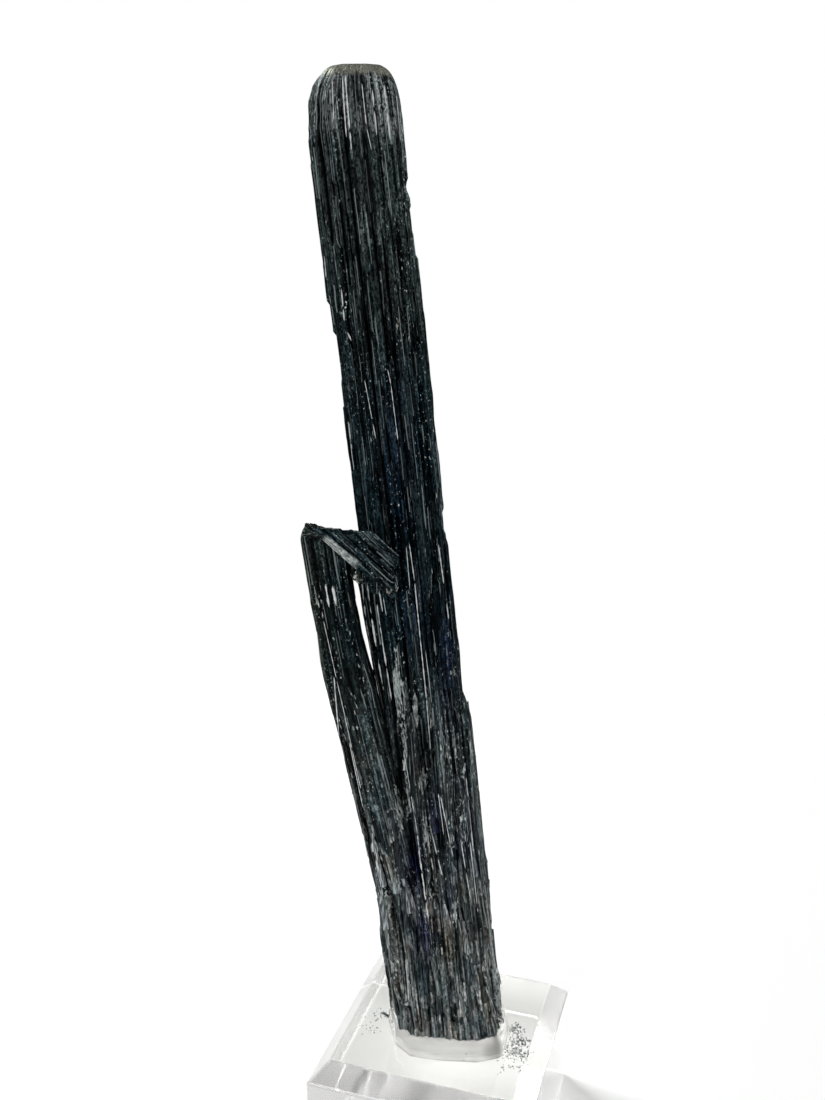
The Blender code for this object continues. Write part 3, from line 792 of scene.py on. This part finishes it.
rows = [(0, 0, z, 1, 1, 0.7) for z in np.linspace(-CROSS_REACH, CROSS_REACH, 90)]
for share in (0.85, 0.55, 0.25):
    rows.insert(0, (0, 0, -CROSS_REACH, share, share, 0.1))
    rows.append((0, 0, CROSS_REACH, share, share, 0.1))
corners = [(x * (CROSS_HALF[0] + 0.1), y * (CROSS_HALF[1] + 0.1)) for x, y in CROSS_CORNERS]
cross_crystal = skin("stibnite_cross_crystal", walk_round(corners, 0.16, 0.5), rows, cross_cuts)
places = np.zeros(3 * len(cross_crystal.data.vertices), np.float32)
cross_crystal.data.vertices.foreach_get("co", places)
lengthwise = places.reshape(-1, 3)[:, 2] / MM
around = np.zeros(len(lengthwise), np.float32)
attributes = cross_crystal.data.attributes
attributes["around_mm"].data.foreach_get("value", around)
facet = (around > 0.1) & (around < CROSS_FACET_WIDTH)
facet = facet * np.interp(lengthwise, CROSS_FACET_ENDS, (0.0, 1.0, 1.0, 0.0))
attributes["wear"].data.foreach_set("value", np.where(facet > 0.4, 0.2, 0.98).astype(np.float32))
attributes.new("facet", "FLOAT", "POINT").data.foreach_set("value", facet.astype(np.float32))
striated(cross_crystal, (1.9, 26.0, 0.30), (0.9, 15.0, 0.24), (0.34, 8.0, 0.08), seed=7.0, tilt=1.2)
cross_crystal.data.transform(Matrix.Translation(Vector(CROSS_MIDDLE) * MM) @ lay_down.to_3x3().to_4x4())
settle(cross_crystal)

# --------------------------------------------------------------------------------------------------
# Laths. Long strips of crystal that stand proud of the two prisms and part from them in narrow
# cracks.
# --------------------------------------------------------------------------------------------------
LATH_CORNERS = [
    (-1.00, 0.10), (-0.45, -0.95), (0.40, -1.00), (1.00, -0.05), (0.50, 1.00), (-0.55, 0.95),
]
# Each lath's two ends, its width and its depth. Most of them start in the foot.
LATH_FOOT = 25.8
LATHS = [
    ((8.0, -2.2, LATH_FOOT), (2.0, -0.2, 85.0), 3.8, 9.0),
    ((7.0, -7.6, LATH_FOOT), (1.2, -5.2, 73.0), 3.6, 4.4),
    ((3.0, -8.6, LATH_FOOT), (-2.6, -5.9, 92.0), 3.0, 3.4),
    ((-1.2, -8.4, LATH_FOOT), (-6.2, -5.8, 84.0), 2.6, 3.2),
    ((-5.0, -7.0, LATH_FOOT), (-9.4, -5.4, 66.0), 4.4, 4.6),
    ((-7.0, -2.2, LATH_FOOT), (-11.8, -3.0, 58.0), 3.4, 5.0),
    ((1.4, 6.0, LATH_FOOT), (-6.0, 5.5, 96.0), 4.2, 3.4),
    ((-3.4, 5.0, LATH_FOOT), (-9.4, 4.6, 76.0), 3.4, 3.4),
    ((5.6, 4.6, LATH_FOOT), (-1.6, 4.4, 110.0), 3.4, 3.2),
    ((-3.2, -5.7, 104.0), (-9.8, -5.6, 163.0), 2.4, 1.6),
    ((-10.8, 5.4, 118.0), (-14.6, 5.2, 168.0), 3.2, 1.8),
    ((-2.0, -2.6, 115.5), (-7.6, -2.6, 165.0), 2.4, 3.4),
    ((-7.35, -0.6, 70.0), (-14.2, -0.4, 110.0), 3.4, 4.0),
    ((-11.2, -4.6, 122.0), (-14.6, -4.4, 160.0), 2.4, 1.8),
    ((2.0, -1.0, 80.0), (-1.3, -1.0, 113.0), 2.4, 4.0),
]
LATH_ROW = 0.65
for number, (low, high, width, depth) in enumerate(LATHS):
    low, high = np.array(low), np.array(high)
    low_fill = 0.95 if low[2] == LATH_FOOT else 0.45
    rows = []
    for share in np.linspace(0, 1, round((high[2] - low[2]) / LATH_ROW)):
        fill = np.interp(share, (0, 0.06, 0.5, 0.93, 1.0), (low_fill, 0.95, 1.0, 0.9, 0.4))
        x, y, z = low + (high - low) * share
        rows.append((x, y, z, fill, fill, 0.6 + 0.8 * flare(z)))
    corners = [(x * width / 2, y * depth / 2) for x, y in LATH_CORNERS]
    lath = skin(f"stibnite_lath_{number + 1}", walk_round(corners, 0.19, 0.5), rows)
    striated(lath, (1.9, 34.0, 0.18), (0.9, 16.0, 0.20), (0.38, 7.0, 0.08), seed=20.0 + number)
    settle(lath)

# --------------------------------------------------------------------------------------------------
# Lumps. Small craggy knots of broken crystal stuck under both ends of the cross crystal and on the
# right edge.
# --------------------------------------------------------------------------------------------------
LUMP_CORNERS = [(-1.00, 0.25), (-0.30, -0.90), (0.75, -0.80), (1.00, 0.30), (0.15, 1.00)]
LUMPS = [
    ((-9.4, -7.5, 105.6), 2.6), ((-14.6, -5.6, 107.3), 2.6), ((-13.6, -6.6, 107.2), 2.8),
    ((-11.6, -6.9, 105.6), 2.6), ((-14.9, -4.8, 109.2), 3.0), ((-7.2, -1.8, 165.6), 2.2),
]
for number, ((x, y, z), size) in enumerate(LUMPS):
    rows = []
    for share in np.linspace(-0.5, 0.5, 20):
        fill = np.interp(share, (-0.5, -0.44, -0.1, 0.35, 0.47, 0.5), (0.2, 0.6, 1.0, 0.85, 0.45, 0.2))
        rows.append((x, y, z + share * size, fill, fill, 0.9))
    outline = walk_round([(x * size / 2, y * size / 2) for x, y in LUMP_CORNERS], 0.18, 0.3)
    lump = skin(f"stibnite_lump_{number + 1}", outline, rows)
    striated(lump, (0.9, 1.3, 0.35), (0.5, 0.8, 0.15), (0.3, 0.6, 0.05), seed=50.0 + number)
    settle(lump)

# --------------------------------------------------------------------------------------------------
# Splinters. Broken slivers of the same crystals, one to two millimetres wide, lying along the skins
# and bedded in them, thickest towards the foot. They are weathered duller and greyer than the sound
# faces.
# --------------------------------------------------------------------------------------------------
# Weathered stibnite: the same sulphide gone dull and lead grey on broken surfaces, hardly metallic
# any more. Each shard has a grey of its own and streaks of 0.24 mm along it, drawn no finer than
# they show.
splintered, tree = new_material("stibnite_weathered")
chance, navy, olive = (
    node(tree, "Attribute", attribute_name=name).outputs["Fac"] for name in ("chance", "navy", "olive")
)
streak = spread(tree, (4200.0, 4200.0, 500.0), 3.0)
greys = [(0.0, "#1c2428"), (0.25, "#525e63"), (0.50, "#a4b0b3"), (1.0, "#ffffff")]
streaks = [(0.35, "#3c3c3c"), (0.52, "#b4b4b4"), (0.62, "#ffffff")]
body = layered(
    tree, patchy(tree, node(tree, "ValToRGB", greys, Fac=chance)),
    ("MIX", [(navy, 0, 1, 0.85)], "#20266e"),
    ("MIX", [(olive, 0, 1, 0.6)], "#6d6a5e"),
    ("MULTIPLY", [], node(tree, "ValToRGB", streaks, Fac=streak)),
)
shader = node(tree, "BsdfPrincipled", Base_Color=body, Metallic=0.35, Roughness=0.42,
              Specular_IOR_Level=0.25,
              Normal=node(tree, "Bump", Strength=0.5, Distance=0.08 * MM, Height=streak))
node(tree, "OutputMaterial", Surface=shader)


def shards_tree():
    """Strews five-sided shards over the skins in a collection, along their grain, where a mask
    attribute says."""
    tree = bpy.data.node_groups.new("strew_shards", "GeometryNodeTree")
    tree.interface.new_socket("Geometry", in_out="INPUT", socket_type="NodeSocketGeometry")
    kinds = {
        "Skins": "Collection", "Mask": "String", "Density": "Float", "Smallest": "Vector",
        "Largest": "Vector", "Lean": "Vector", "Tilt": "Float", "Sink": "Float", "Seed": "Int",
        "Material": "Material",
    }
    for name, kind in kinds.items():
        tree.interface.new_socket(name, in_out="INPUT", socket_type=f"NodeSocket{kind}")
    tree.interface.new_socket("Geometry", in_out="OUTPUT", socket_type="NodeSocketGeometry")
    given = node(tree, "NodeGroupInput").outputs
    # Places on the skins.
    skin = node(tree, "GeometryNodeCollectionInfo", Collection=given["Skins"])
    skin = node(tree, "GeometryNodeRealizeInstances", Geometry=skin)
    mask = node(tree, "GeometryNodeInputNamedAttribute", Name=given["Mask"]).outputs["Attribute"]
    density = node(tree, "Math", operation="MULTIPLY", i0=mask, i1=given["Density"])
    spots = node(tree, "GeometryNodeDistributePointsOnFaces", Mesh=skin, Seed=given["Seed"],
                 Density=density).outputs
    inward = node(tree, "Math", operation="MULTIPLY", i0=given["Sink"], i1=-1.0)
    inward = node(tree, "VectorMath", operation="SCALE", i0=spots["Normal"], Scale=inward)
    sunk = node(tree, "GeometryNodeSetPosition", Geometry=spots["Points"], Offset=inward)
    # The way each shard points, mostly along the skin, and its size.
    seed = node(tree, "Math", operation="ADD", i0=given["Seed"], i1=1.0)
    tilt = node(tree, "FunctionNodeRandomValue", data_type="FLOAT_VECTOR", i0=(-1, -1, -1),
                i1=(1, 1, 1), Seed=seed)
    tilt = node(tree, "VectorMath", operation="SCALE", i0=tilt, Scale=given["Tilt"])
    grain = node(tree, "GeometryNodeInputNamedAttribute", data_type="FLOAT_VECTOR", Name="grain")
    along = node(tree, "VectorMath", operation="ADD", i0=given["Lean"], i1=tilt)
    along = node(tree, "VectorMath", operation="ADD", i0=along, i1=grain)
    upright = node(tree, "VectorMath", operation="PROJECT", i0=along, i1=spots["Normal"])
    along = node(tree, "VectorMath", operation="MULTIPLY_ADD", i0=upright, i1=(-0.8, -0.8, -0.8),
                 i2=along)
    turned = node(tree, "FunctionNodeAlignRotationToVector", axis="Z", Vector=along)
    turned = node(tree, "FunctionNodeAlignRotationToVector", axis="X", pivot_axis="Z",
                  Rotation=turned, Vector=spots["Normal"])
    seed = node(tree, "Math", operation="ADD", i0=given["Seed"], i1=2.0)
    size = node(tree, "FunctionNodeRandomValue", data_type="FLOAT_VECTOR", i0=given["Smallest"],
                i1=given["Largest"], Seed=seed)
    # The shards themselves, each with a chance of its own for its colour.
    shard = node(tree, "GeometryNodeMeshCone", Vertices=5, Radius_Top=0.26, Radius_Bottom=0.5,
                 Depth=1.0)
    shard = node(tree, "GeometryNodeTransform", Geometry=shard, Translation=(0, 0, -0.5))
    shards = node(tree, "GeometryNodeInstanceOnPoints", Points=sunk, Instance=shard,
                  Rotation=turned, Scale=size)
    own = node(tree, "FunctionNodeRandomValue", data_type="FLOAT", Seed=given["Seed"]).outputs[1]
    kept = node(tree, "GeometryNodeStoreNamedAttribute", data_type="FLOAT", domain="INSTANCE",
                Geometry=shards, Name="chance", Value=own)
    whole = node(tree, "GeometryNodeRealizeInstances", Geometry=kept)
    dressed = node(tree, "GeometryNodeSetMaterial", Geometry=whole, Material=given["Material"])
    node(tree, "NodeGroupOutput", Geometry=dressed)
    return tree


strew = shards_tree()


def strewn(name, material, smallest, largest, sink, **values):
    """A piece made of shards strewn over skins, with their smallest and largest sizes and how deep
    they sink in, all in mm."""
    obj = mesh_object(name, [(0, 0, 0)], [], material)
    sizes = {"Smallest": tuple(v * MM for v in smallest), "Largest": tuple(v * MM for v in largest)}
    run_nodes(obj, strew, Material=material, Sink=sink * MM, **sizes, **values)
    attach(obj, "root")


strewn("stibnite_splinters", splintered, (0.4, 0.5, 3.0), (1.3, 1.7, 12.0), 0.26, Skins=skins,
       Mask="ragged", Density=4.5e4, Tilt=0.09, Seed=4)
strewn("stibnite_foot_splinters", splintered, (0.4, 0.5, 3.0), (1.2, 1.5, 9.0), 0.1, Skins=skins,
       Mask="slanted", Density=3.0e4, Lean=tuple(turn @ Vector((-0.2, 0, 0))), Tilt=0.09, Seed=12)
strewn("stibnite_chips", splintered, (0.2, 0.3, 0.6), (0.6, 0.8, 2.6), 0.12, Skins=skins,
       Mask="ragged", Density=8e4, Tilt=0.35, Seed=9)

# Bare stibnite: flat flakes where the tarnish has split off, pale lead grey and satin, with streaks
# of 0.3 mm.
flaked, tree = new_material("stibnite_bare")
chance = node(tree, "Attribute", attribute_name="chance").outputs["Fac"]
streak = spread(tree, (3500.0, 3500.0, 400.0), 3.0)
streaks = node(tree, "ValToRGB", [(0.35, "#707070"), (0.55, "#ffffff")], Fac=streak)
greys = node(tree, "ValToRGB", [(0.0, "#69716f"), (0.6, "#949d9a"), (1.0, "#d2d8d4")], Fac=chance)
shader = node(tree, "BsdfPrincipled", Metallic=0.2, Roughness=0.45,
              Base_Color=layered(tree, greys, ("MULTIPLY", [], streaks)),
              Normal=node(tree, "Bump", Strength=0.4, Distance=0.06 * MM, Height=streak))
node(tree, "OutputMaterial", Surface=shader)
strewn("bare_flakes", flaked, (0.15, 0.25, 0.8), (0.3, 0.7, 3.2), 0.05, Skins=skins, Mask="bare",
       Density=1.6e5, Tilt=0.12, Seed=15)

# --------------------------------------------------------------------------------------------------
# Crust. Pale grey and greenish grains that stick to the crystals in a few patches, the thickest of
# them beside the cross crystal and down the middle of the front.
# --------------------------------------------------------------------------------------------------
# Crust: powdery oxide and rock dust, matte and pale.
crust_dust, tree = new_material("antimony_oxide_crust")
chance = node(tree, "Attribute", attribute_name="chance").outputs["Fac"]
dusts = node(tree, "ValToRGB", [(0.0, "#5a5d52"), (0.5, "#8b8d84"), (1.0, "#c9cac2")], Fac=chance)
shader = node(tree, "BsdfPrincipled", Base_Color=dusts, Roughness=0.75)
node(tree, "OutputMaterial", Surface=shader)
strewn("crust_grains", crust_dust, (0.15, 0.15, 0.2), (0.4, 0.45, 0.9), 0.0, Skins=skins,
       Mask="crust", Density=1.3e6, Tilt=0.8, Seed=2)

# --------------------------------------------------------------------------------------------------
# Highlight ridges. Thin near-white lines along rib edges, painted highlights where the edges catch
# the light. Each is a low ridge laid on whatever skin lies behind its place in the front view,
# broken into dashes.
# --------------------------------------------------------------------------------------------------
# Each line's two ends, in millimetres across and up, and its width.
FRONT_LINES = [
    ((-15.5, 179.0), (-15.0, 170.6), 0.20), ((-15.1, 179.0), (-14.3, 168.9), 0.24),
    ((-12.8, 177.7), (-12.2, 172.2), 0.18), ((-12.2, 172.0), (-11.5, 168.9), 0.14),
    ((-11.4, 177.2), (-10.8, 170.9), 0.24), ((-9.8, 177.5), (-8.9, 170.2), 0.22),
    ((-8.1, 176.7), (-7.5, 170.2), 0.14), ((-16.9, 178.2), (-16.7, 172.8), 0.14),
    ((-18.9, 154.8), (-18.7, 151.3), 0.22), ((-16.2, 150.2), (-15.8, 145.4), 0.24),
    ((-15.4, 143.9), (-14.8, 142.5), 0.30), ((-9.5, 138.7), (-9.0, 136.3), 0.16),
    ((-9.0, 136.3), (-8.0, 128.1), 0.14), ((-12.9, 137.0), (-11.3, 128.1), 0.16),
    ((-13.8, 104.8), (-13.3, 98.6), 0.30), ((-13.3, 98.4), (-12.4, 91.0), 0.22),
    ((-13.0, 104.8), (-12.3, 99.5), 0.36), ((-12.3, 99.3), (-11.3, 91.9), 0.34),
    ((-11.3, 91.9), (-10.5, 86.8), 0.26), ((-12.0, 104.9), (-11.4, 101.7), 0.38),
    ((-11.4, 101.5), (-10.9, 98.0), 0.36), ((-10.9, 98.0), (-10.0, 91.2), 0.30),
    ((-10.0, 91.2), (-9.2, 85.2), 0.24), ((-11.0, 103.9), (-10.5, 100.6), 0.26),
    ((-10.4, 103.6), (-9.9, 100.3), 0.14), ((-6.3, 111.9), (-5.5, 106.0), 0.18),
    ((-5.5, 106.0), (-4.6, 96.5), 0.19), ((-4.6, 96.5), (-3.6, 86.4), 0.20),
    ((-3.6, 86.4), (-2.9, 77.7), 0.18), ((-1.8, 111.3), (-0.9, 104.8), 0.24),
    ((-0.5, 101.8), (0.1, 97.7), 0.24), ((-6.8, 111.9), (-6.2, 104.7), 0.13),
    ((-3.8, 94.8), (-2.8, 86.4), 0.12), ((-2.6, 78.1), (-0.7, 63.4), 0.22),
    ((-7.3, 77.4), (-5.0, 63.4), 0.16), ((-5.0, 63.4), (-4.8, 61.2), 0.22),
    ((-4.8, 61.2), (-3.2, 48.2), 0.34), ((-3.4, 62.7), (-2.4, 56.6), 0.24),
    ((-2.6, 62.7), (-0.9, 55.7), 0.22), ((2.0, 62.7), (3.8, 51.6), 0.18),
    ((3.6, 61.8), (5.1, 48.8), 0.16), ((2.9, 72.4), (4.2, 59.7), 0.18),
    ((-1.3, 70.6), (0.8, 59.7), 0.16), ((-12.9, 113.6), (-9.5, 111.2), 0.16),
    ((-21.4, 113.7), (-19.7, 100.1), 0.13), ((-19.7, 100.1), (-14.2, 71.1), 0.13),
    ((-19.2, 105.8), (-18.7, 102.1), 0.46), ((-18.2, 105.8), (-17.6, 102.3), 0.50),
    ((-18.2, 90.5), (-17.6, 79.9), 0.18), ((-15.9, 79.1), (-13.9, 67.6), 0.16),
    ((-7.0, 39.8), (-6.3, 30.9), 0.20),
]
LEFT_LINES = [((0.9, 169.6), (0.9, 143.0), 0.22), ((1.0, 142.0), (1.1, 116.0), 0.18)]
LINE_STEP, MOST_JUMP, MOST_DIP = 0.45, 0.6, 0.12
SEEN_FROM = 40
# The ridge's section: places in shares of its half width, and how far each lies under the skin.
RIDGE = ((-1.0, 0.12), (-0.75, -0.09), (0.75, -0.09), (1.0, 0.12))
# Highlight paint: a near-white matte colour that stands in for the light caught on the rib edges.
highlight_paint, tree = new_material("stibnite_fresh")
shader = node(tree, "BsdfPrincipled", Base_Color=srgb("#f4f7f7"), Metallic=0.1, Roughness=0.4)
node(tree, "OutputMaterial", Surface=shader)
depsgraph = bpy.context.evaluated_depsgraph_get()
backing = [BVHTree.FromObject(obj, depsgraph) for obj in skins.objects]
rng = random.Random(6)
points, faces = [], []


def skin_depth(start, inward):
    """How far the foremost skin lies from this start along inward, in millimetres, or None."""
    start, inward = turn @ Vector(start) * MM, turn @ Vector(inward)
    hits = [tree.ray_cast(start, inward)[3] for tree in backing]
    hits = [hit for hit in hits if hit is not None]
    return min(hits) / MM if hits else None


def lay_lines(lines, across, inward):
    """Lays each (top, bottom, width) line on the skins, seen along inward, its places being
    (across, height)."""
    across, inward = np.array(across, float), np.array(inward, float)
    up = np.array((0.0, 0.0, 1.0))
    for top, bottom, width in lines:
        length = math.dist(top, bottom)
        at = rng.uniform(0, 0.4)
        while at < length:
            dash = rng.uniform(2.0, 8.0) if width > 0.2 else rng.uniform(5.0, 16.0)
            end = min(length, at + dash)
            stations = []
            count = max(3, round((end - at) / LINE_STEP))
            for share in np.linspace(at / length, end / length, count):
                place, height = (a + (b - a) * share for a, b in zip(top, bottom))
                start = across * place + up * height - inward * SEEN_FROM
                depth = skin_depth(start, inward)
                if depth is not None and (not stations or abs(depth - stations[-1][1]) < MOST_JUMP):
                    stations.append((start, depth))
            at = end + rng.uniform(0.2, 0.9)
            if len(stations) < 3:
                continue
            first = len(points)
            for number, (start, depth) in enumerate(stations):
                near = stations[max(0, number - 1):number + 2]
                depth = min(depth, *(station[1] + MOST_DIP for station in near))
                taper = 0.15 if number in (0, len(stations) - 1) else 1
                half = width / 2 * rng.uniform(0.45, 1.2) * taper
                for side, sink in RIDGE:
                    points.append(start + across * side * half + inward * (depth + sink))
            faces.extend([first + v for v in quad] for quad in tube_faces(len(stations), 4))
            faces.append([first + v for v in range(4)])
            faces.append([len(points) - 1 - v for v in range(4)])


lay_lines(FRONT_LINES, (1, 0, 0), (0, 1, 0))
lay_lines(LEFT_LINES, (0, -1, 0), (1, 0, 0))
edges = mesh_object("stibnite_bright_edges", points, faces, highlight_paint)
settle(edges)

# --------------------------------------------------------------------------------------------------
# Crumbs. Grains that have dropped from the specimen and lie loose on the block and on the putty's
# rim, with two slivers among them.
# --------------------------------------------------------------------------------------------------
# Where the crumbs lie, as (x, y, radius, most), and the slivers' middles, as (x, y, radius), in mm.
CRUMB_PLACES = [
    (12.2, -3.2, 1.3, 1.0), (12.8, -6.0, 1.5, 1.0), (11.8, -8.6, 1.5, 0.9), (13.6, -9.5, 2.0, 0.3),
    (-13.6, -2.2, 1.6, 0.16), (-11.4, 1.2, 1.2, 0.5), (11.0, -12.0, 2.0, 0.12),
]
PUTTY_CRUMBS = 0.003
LOOSE_SLIVERS = [
    [
        (-11.4, 1.8, 0.05), (-10.9, 1.35, 0.17), (-10.4, 0.8, 0.24), (-10.0, 0.35, 0.18),
        (-9.4, -0.2, 0.04),
    ],
    [(-10.9, 0.6, 0.04), (-10.5, 0.75, 0.13), (-10.0, 1.0, 0.14), (-9.5, 1.05, 0.04)],
]
# A grid just over the block's top, on which the crumbs are strewn, and which is then removed.
side = 96
reach = np.linspace(-17, 17, side)
grid = np.array([(x, y, BLOCK_TOP + 0.02) for y in reach for x in reach])
faces = [
    [j * side + i, j * side + i + 1, (j + 1) * side + i + 1, (j + 1) * side + i]
    for j in range(side - 1) for i in range(side - 1)
]
ground = mesh_object("crumb_ground", grid, faces, splintered)
most = np.zeros(len(grid))
for x, y, radius, amount in CRUMB_PLACES:
    away = turn @ Vector((x, y, 0))
    away = ((grid[:, 0] - away.x) ** 2 + (grid[:, 1] - away.y) ** 2) / radius ** 2
    most = np.maximum(most, amount * np.exp(-away))
few = np.full(len(putty.data.vertices), PUTTY_CRUMBS)
fallen = bpy.data.collections.new("fallen_on")
for obj, amounts in ((ground, most), (putty, few)):
    fallen.objects.link(obj)
    crumbly = obj.data.attributes.new("crumbly", "FLOAT", "POINT")
    crumbly.data.foreach_set("value", amounts.astype(np.float32))
strewn("fallen_crumbs", splintered, (0.06, 0.06, 0.08), (0.28, 0.28, 0.40), -0.05, Skins=fallen,
       Mask="crumbly", Density=1.6e7, Tilt=1.0, Seed=7)
bpy.data.objects.remove(ground)
bpy.data.collections.remove(fallen)
points, faces = [], []
for path in LOOSE_SLIVERS:
    first = len(points)
    for x, y, radius in path:
        for angle in np.arange(5) * math.tau / 5:
            aside, rise = radius * math.cos(angle) * 0.7, radius * (1 + math.sin(angle))
            points.append((x + aside, y + aside, BLOCK_TOP + 0.03 + rise))
    faces += [[first + v for v in quad] for quad in tube_faces(len(path), 5)]
    faces += [[first + v for v in range(5)], [len(points) - 1 - v for v in range(5)]]
sliver = mesh_object("loose_sliver", points, faces, splintered)
settle(sliver)

# --------------------------------------------------------------------------------------------------
# Stage: a pale floor, soft studio light and the camera.
# --------------------------------------------------------------------------------------------------
FLOOR_RADIUS = 230
# A matte white laminate table top.
floor_material, tree = new_material("matte_white_table")
shader = node(tree, "BsdfPrincipled", Base_Color=srgb("#f3f3f3"), Roughness=0.9, Specular_IOR_Level=0.1)
node(tree, "OutputMaterial", Surface=shader)
ring = [(math.cos(math.tau * i / 96), math.sin(math.tau * i / 96)) for i in range(96)]
ring = [(FLOOR_RADIUS * x, FLOOR_RADIUS * y, -0.1) for x, y in ring]
floor = mesh_object("table_floor", ring, [list(range(96))], floor_material)

# A white room, dimmer in front of and behind the object, so that its strips catch light from the
# sides and above. What the clear block and putty let through is the room's plain white, with a
# dimmer ceiling and a few soft upright screens.
world = bpy.data.worlds.new("studio")
world.use_nodes = True
bpy.context.scene.world = world
tree = world.node_tree
tree.nodes.clear()
path = node(tree, "LightPath").outputs
direction = node(tree, "TexCoord").outputs["Generated"]
upward = node(tree, "SeparateXYZ", Vector=direction).outputs["Z"]
sideways = (math.cos(SPECIMEN_TURN), math.sin(SPECIMEN_TURN), 0)
sideways = node(tree, "VectorMath", operation="DOT_PRODUCT", i0=direction, i1=sideways).outputs["Value"]
sideways = node(tree, "Math", operation="ABSOLUTE", i0=sideways)
blur = node(tree, "TexNoise", Vector=direction, Scale=1.8, Detail=1.0)
above = total(tree, -0.45, (upward, 1.0), (blur, 0.9))
walls = total(tree, 0.0, (where(tree, (sideways, 0.30, 0.85, 0.9)), 1.0),
              (where(tree, (above, 0.30, 0.80, 0.9)), 1.0))
for ray, dimmed in (("Is Diffuse Ray", -0.6), ("Is Transmission Ray", -1.0)):
    walls = node(tree, "Math", operation="MULTIPLY", i0=walls, i1=total(tree, 1.0, (path[ray], dimmed)))
screens = node(tree, "Mapping", Vector=direction, Scale=(6.0, 6.0, 0.8))
screens = node(tree, "TexNoise", Vector=screens, Scale=1.0, Detail=1.0)
screens = total(tree, 0.03, (where(tree, (screens, 0.40, 0.60, 0.26)), 1.0))
screens = node(tree, "Math", operation="MULTIPLY", i0=screens, i1=where(tree, (upward, 0.06, 0.22, 1)))
bounced = node(tree, "Math", operation="MINIMUM", i0=path["Diffuse Depth"], i1=1.0)
seen_through = total(tree, 1.0, (where(tree, (upward, 0.45, 0.95, 0.20)), -1.0), (bounced, 0.9),
                     (screens, -1.0))
seen_through = node(tree, "Math", operation="MULTIPLY", i0=path["Is Transmission Ray"], i1=seen_through)
strength = 0.12
for shown in (walls, path["Is Camera Ray"], seen_through):
    strength = node(tree, "Math", operation="MAXIMUM", i0=strength, i1=shown)
background = node(tree, "Background", Color=(1, 1, 1, 1), Strength=strength)
node(tree, "OutputWorld", Surface=background)
world.cycles.sampling_method = "NONE"


def soft_light(name, place, aim, size, watts):
    """A rectangular lamp in the scene, turned to its aim."""
    data = bpy.data.lights.new(name, "AREA")
    data.shape = "RECTANGLE"
    data.size, data.size_y = size
    data.energy = watts
    lamp = bpy.data.objects.new(name, data)
    lamp.location = place
    lamp.rotation_euler = (Vector(aim) - Vector(place)).to_track_quat("-Z", "Y").to_euler()
    bpy.context.scene.collection.objects.link(lamp)


soft_light("key_left", (-0.90, 0.40, 0.82), (0, 0, 0.08), (0.60, 0.60), 16.8)
soft_light("fill_right", (1.00, 0.20, 0.72), (0, 0, 0.08), (0.8, 0.8), 3.0)
soft_light("fill_front", (-0.15, -0.95, 0.35), (0, 0, 0.09), (0.6, 0.6), 2.4)

CAMERA_PLACE = (0.0478, -0.1669, 0.1578)
CAMERA_DOWN, CAMERA_ROUND = 15.6, 17.9
LENS, SENSOR_WIDTH = 37.18, 36
camera_data = bpy.data.cameras.new("camera")
camera_data.sensor_width = SENSOR_WIDTH
camera_data.lens = LENS
camera = bpy.data.objects.new("camera", camera_data)
camera.location = CAMERA_PLACE
camera.rotation_euler = (math.radians(90 - CAMERA_DOWN), 0, math.radians(CAMERA_ROUND))
bpy.context.scene.collection.objects.link(camera)
bpy.context.scene.camera = camera
bpy.context.scene.view_settings.view_transform = "Standard"
bpy.context.scene.cycles.max_bounces = 24
bpy.context.scene.cycles.glossy_bounces = 16
bpy.context.scene.cycles.transmission_bounces = 24
